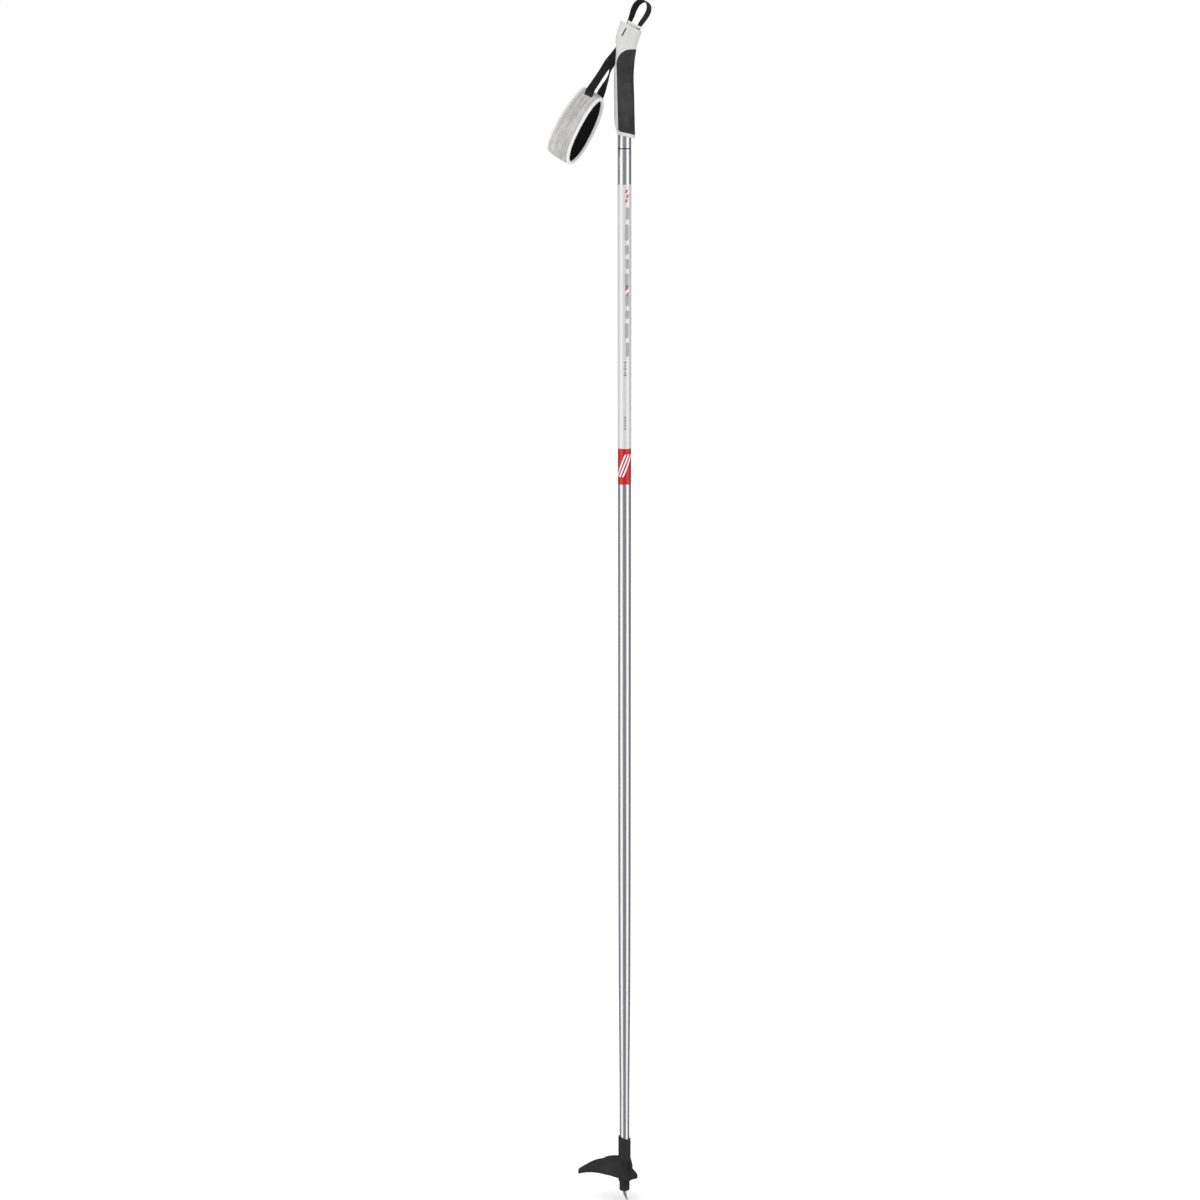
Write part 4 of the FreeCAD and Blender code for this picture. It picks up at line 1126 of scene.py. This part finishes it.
# The basket from above and from the side: place along X, half width, height of the spine, height of the rim.
BASKET_PLAN = np.array([
    (-58.0, 3.0, 40.2, 36.8),
    (-56.4, 4.4, 41.6, 37.4),
    (-49.4, 5.6, 45.9, 39.2),
    (-43.0, 6.2, 49.7, 39.6),
    (-36.6, 7.0, 52.6, 39.6),
    (-31.0, 7.8, 54.0, 39.0),
    (-26.5, 8.8, 54.8, 38.4),
    (-23.0, 10.0, 56.6, 38.0),
    (-18.0, 12.4, 58.2, 37.7),
    (-12.0, 16.4, 59.2, 37.5),
    (-7.0, 20.4, 58.8, 37.3),
    (-1.0, 24.4, 56.0, 36.9),
    (4.0, 25.2, 51.0, 36.4),
    (8.3, 21.6, 44.6, 35.6),
    (11.0, 15.6, 39.8, 34.2),
    (13.4, 11.6, 37.0, 33.0),
    (15.3, 8.4, 34.8, 32.0),
    (16.4, 4.6, 33.0, 31.5),
])
BASKET_WALL = 2.2
BASKET_BASE = 1.1
SLEEVE_RADIUS, SLEEVE_BORE = 7.7, 6.15
SLEEVE_TOP, SLEEVE_SLANT = 82.6, 0.2436


# Ridges of the basket's far half, as bars half sunk in its top: front, rear and wing.
BASKET_RIDGES = (
    ((5.4, 5.2, 58.0), (7.6, 8.0, 48.6), (9.2, 12.0, 41.0), (9.6, 16.0, 36.6)),
    ((-7.0, 4.5, 56.5), (-20.0, 6.5, 53.4), (-38.0, 5.6, 47.4), (-53.0, 4.0, 41.2)),
    ((-4.0, 7.5, 53.5), (-3.0, 13.0, 48.0), (-1.0, 19.0, 42.4), (0.5, 23.4, 38.4)),
)
RIDGE_RADII = (0.9, 1.3, 1.2, 0.8)


def basket_form(inset):
    """The solid under the basket's top, or the hollow inside it when inset by the wall."""
    x, half, spine, rim = BASKET_PLAN.T
    place = (x[0] + x[-1]) / 2 - (x[-1] - x[0]) / 2 * np.cos(np.linspace(0, math.pi, 110))
    half, spine, rim = (through(x, values, place) for values in (half, spine, rim))
    place = place + inset * np.clip((-25 - place) / 20, 0, 1) - inset * np.clip((place - 6) / 8, 0, 1)
    half, spine = np.maximum(half - inset, 0.6), np.maximum(spine - inset, rim + 0.4 - inset * 0.2)
    bottom = rim - (9.0 if inset else 0.0)
    share = np.sin(np.linspace(-math.pi / 2, math.pi / 2, 61))
    boxy = smoothstep(-8.0, -26.0, place)[:, None]
    crown = (1 - np.abs(share) ** (1.25 + 1.9 * boxy)) ** (0.95 - 0.4 * boxy)
    place, half, bottom = place[:, None], half[:, None], bottom[:, None]
    top = xyz(place, half * share, rim[:, None] + (spine - rim)[:, None] * crown)
    return np.concatenate([top, xyz(place, half * share[::-1], bottom - BASKET_BASE)], 1)


def make_basket(material):
    """A vaulted wing basket: hollow below, ribbed above, on a slant-topped sleeve; all edges rounded."""
    vault = grid_piece("basket_moulding", basket_form(0.0), material)
    cut_away(vault, [grid_piece("hollow", basket_form(BASKET_WALL), material)])
    turn = full_turn(72)

    def rings(name, radius, heights):
        return grid_piece(name, np.array([circle(radius, height, turn) for height in heights]), material)

    parts = [vault, rings("sleeve", SLEEVE_RADIUS, np.linspace(26.0, 90.0, 9))]
    for side in (-1, 1):
        parts += [tube_along(np.array(ridge) * (1, side, 1), material) for ridge in BASKET_RIDGES]
    parts += [make_collar(height, proud, material) for height, proud in ((77.5, 0.2), (64.0, 0.25))]
    basket = joined("basket_moulding", parts)
    change = basket.modifiers.new("weld", "REMESH")
    change.mode = "VOXEL"
    change.voxel_size = 0.5 * MM
    soften = basket.modifiers.new("soften", "SMOOTH")
    soften.factor = 0.5
    soften.iterations = 3
    apply_modifiers(basket)
    clear = 12.0
    slant = SLEEVE_SLANT * clear * np.cos(turn)
    cut_away(basket, [rings("bore", SLEEVE_BORE, (20.0, 55.0, 95.0)),
                      rings("above", clear, (SLEEVE_TOP - slant, 99.0 - slant))])
    coat(basket.data, material)
    settle(basket, 60.0)
    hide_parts("basket")
    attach(basket, "pole")


def make_collar(height, proud, material):
    """A low bead round the basket's sleeve, slanted as the sleeve's top is."""
    turn, section = full_turn(64)[:, None], full_turn(12)[None, :]
    radius = SLEEVE_RADIUS - 0.3 + (0.4 + proud) * np.cos(section)
    points = circle(radius, height + 1.1 * np.sin(section) - 1.95 * np.cos(turn), turn)
    return grid_piece("collar", points, material, closed_rows=True)


# ---- printed marks
def tube_radius(z):
    """The film lies on a tube that tapers a little from its top."""
    return 8.0 - 0.00044 * (1310.0 - z)


def mark(low, high, centre, half, slant, rounding):
    """A bar of ink on the film between two heights; centre and half are along the round, slant leans it."""
    share = np.linspace(0, 1, 15)
    z = low + (high - low) * share
    from_end = np.minimum(z - low, high - z)
    radius = min(rounding, half, (high - low) / 2)
    taper = radius - np.sqrt(np.clip(radius**2 - np.clip(radius - from_end, 0, radius) ** 2, 0, None))
    width = np.maximum(half - taper, 0.02)
    across = np.linspace(-1, 1, 9)
    arc = (centre + slant * (z - (low + high) / 2))[:, None] + width[:, None] * across[None, :]
    rows = []
    for proud, order in ((0.16, 1), (0.09, -1)):
        radius_here = tube_radius(z)[:, None] + proud
        turn = arc[:, ::order] / radius_here
        rows.append(xyz(radius_here * np.sin(turn), -radius_here * np.cos(turn), z[:, None]))
    return np.concatenate(rows, 1)


def make_marks(name, marks, material):
    things = [grid_piece(name, mark(*numbers), material) for numbers in marks]
    thing = joined(name, things)
    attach(thing, "pole")


BARS_TOP, BAR_COUNT, BAR_GAP = 1236.0, 9, 4.5
EDGE_DASHES = (11.0, -18.0)
RED_DASHES = (1241.0, 1246.5, 1252.0, 1132.0, 1139.0)
STRIPE_PLACES = (-4.4, -0.4, 3.6)


def make_print(grey, red, dark, white):
    """Plain abstract marks: a column of rounded bars, slanted dashes, fine lines and diagonal stripes."""
    bars, z = [], BARS_TOP
    for n in range(BAR_COUNT):
        length = 15.0 + 5.0 * math.sin(1.9 * n)
        bars.append((z - length, z, 3.3 + 0.5 * math.cos(2.3 * n), 2.4, 0.0, 2.2))
        z -= length + BAR_GAP
    for turned in EDGE_DASHES:
        bars += [(z, z + 9.0, turned, 0.9, 0.0, 0.8) for z in np.arange(968.0, 1212.0, 13.0)]
    make_marks("print_grey_bars", bars, grey)
    reds = [(z, z + 4.2, 2.4 + 1.3 * (n % 2), 1.1, 0.35, 0.3) for n, z in enumerate(RED_DASHES)]
    make_marks("print_red_dashes", reds, red)
    darks = [(z, z + 1.0, 0.8, 1.9 - 0.5 * (n % 3), 0.0, 0.2)
             for n, z in enumerate(np.arange(1038.0, 1054.0, 2.6))]
    darks += [(z, z + 0.9, 0.9, 1.5 - 0.4 * (n % 2), 0.0, 0.2)
              for n, z in enumerate(np.arange(974.0, 990.0, 2.4))]
    darks += [(1142.0, 1145.0, 3.6, 1.4, 0.0, 1.2)]
    make_marks("print_dark_lines", darks, dark)
    stripes = [(917.0, 944.0, place, 0.9, 0.42, 0.2) for place in STRIPE_PLACES]
    make_marks("print_white_stripes", stripes, white)


# ---- finish of the carried-over nodes
def dress(material, *nodes):
    for node in nodes:
        coat(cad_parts[node].data, material)


# ---- putting it together
make_camera()
make_studio()
plastic = moulded("grip_plastic", (0.50, 0.50, 0.495), (0.60, 0.60, 0.595), 0.42)
black_plastic = moulded("basket_plastic", (0.014, 0.014, 0.015), (0.036, 0.036, 0.038), 0.5,
                        grain_mm=0.03, spec=0.25)
webbing = woven("webbing_black", (0.005, 0.005, 0.006), (0.016, 0.016, 0.018), 1.5, 0.15)
dress(anodised(), "shaft_tube")
dress(printed("print_white", (0.66, 0.66, 0.67), (0.52, 0.52, 0.53)), "printed_sleeve")
dress(printed("print_red", (0.50, 0.006, 0.008), (0.36, 0.003, 0.004)), "red_band")
dress(black_plastic, "shaft_top_plug", "tip_ferrule")
dress(ground_steel(), "spike")
make_hard_grip(plastic)
make_slit_shade_blocks(black_plastic)
make_soft_grip(pebbled())
make_wedge(moulded("lock_plastic", (0.56, 0.56, 0.555), (0.66, 0.66, 0.655), 0.34))
make_pull_loop(webbing)
white_tape = woven("binding_white", (0.64, 0.64, 0.63), (0.74, 0.74, 0.73), 0.9, 0.4)
make_cuff(knitted(), brushed_lining(), foam(), white_tape, thread("thread_white", (0.66, 0.66, 0.65)))
make_tapes(webbing, thread("thread_black", (0.03, 0.03, 0.032)))
make_basket(black_plastic)
make_print(print_ink("ink_grey", (0.30, 0.30, 0.31)), print_ink("ink_red", (0.50, 0.010, 0.012)),
           print_ink("ink_dark", (0.05, 0.05, 0.055)), print_ink("ink_white", (0.80, 0.80, 0.80)))
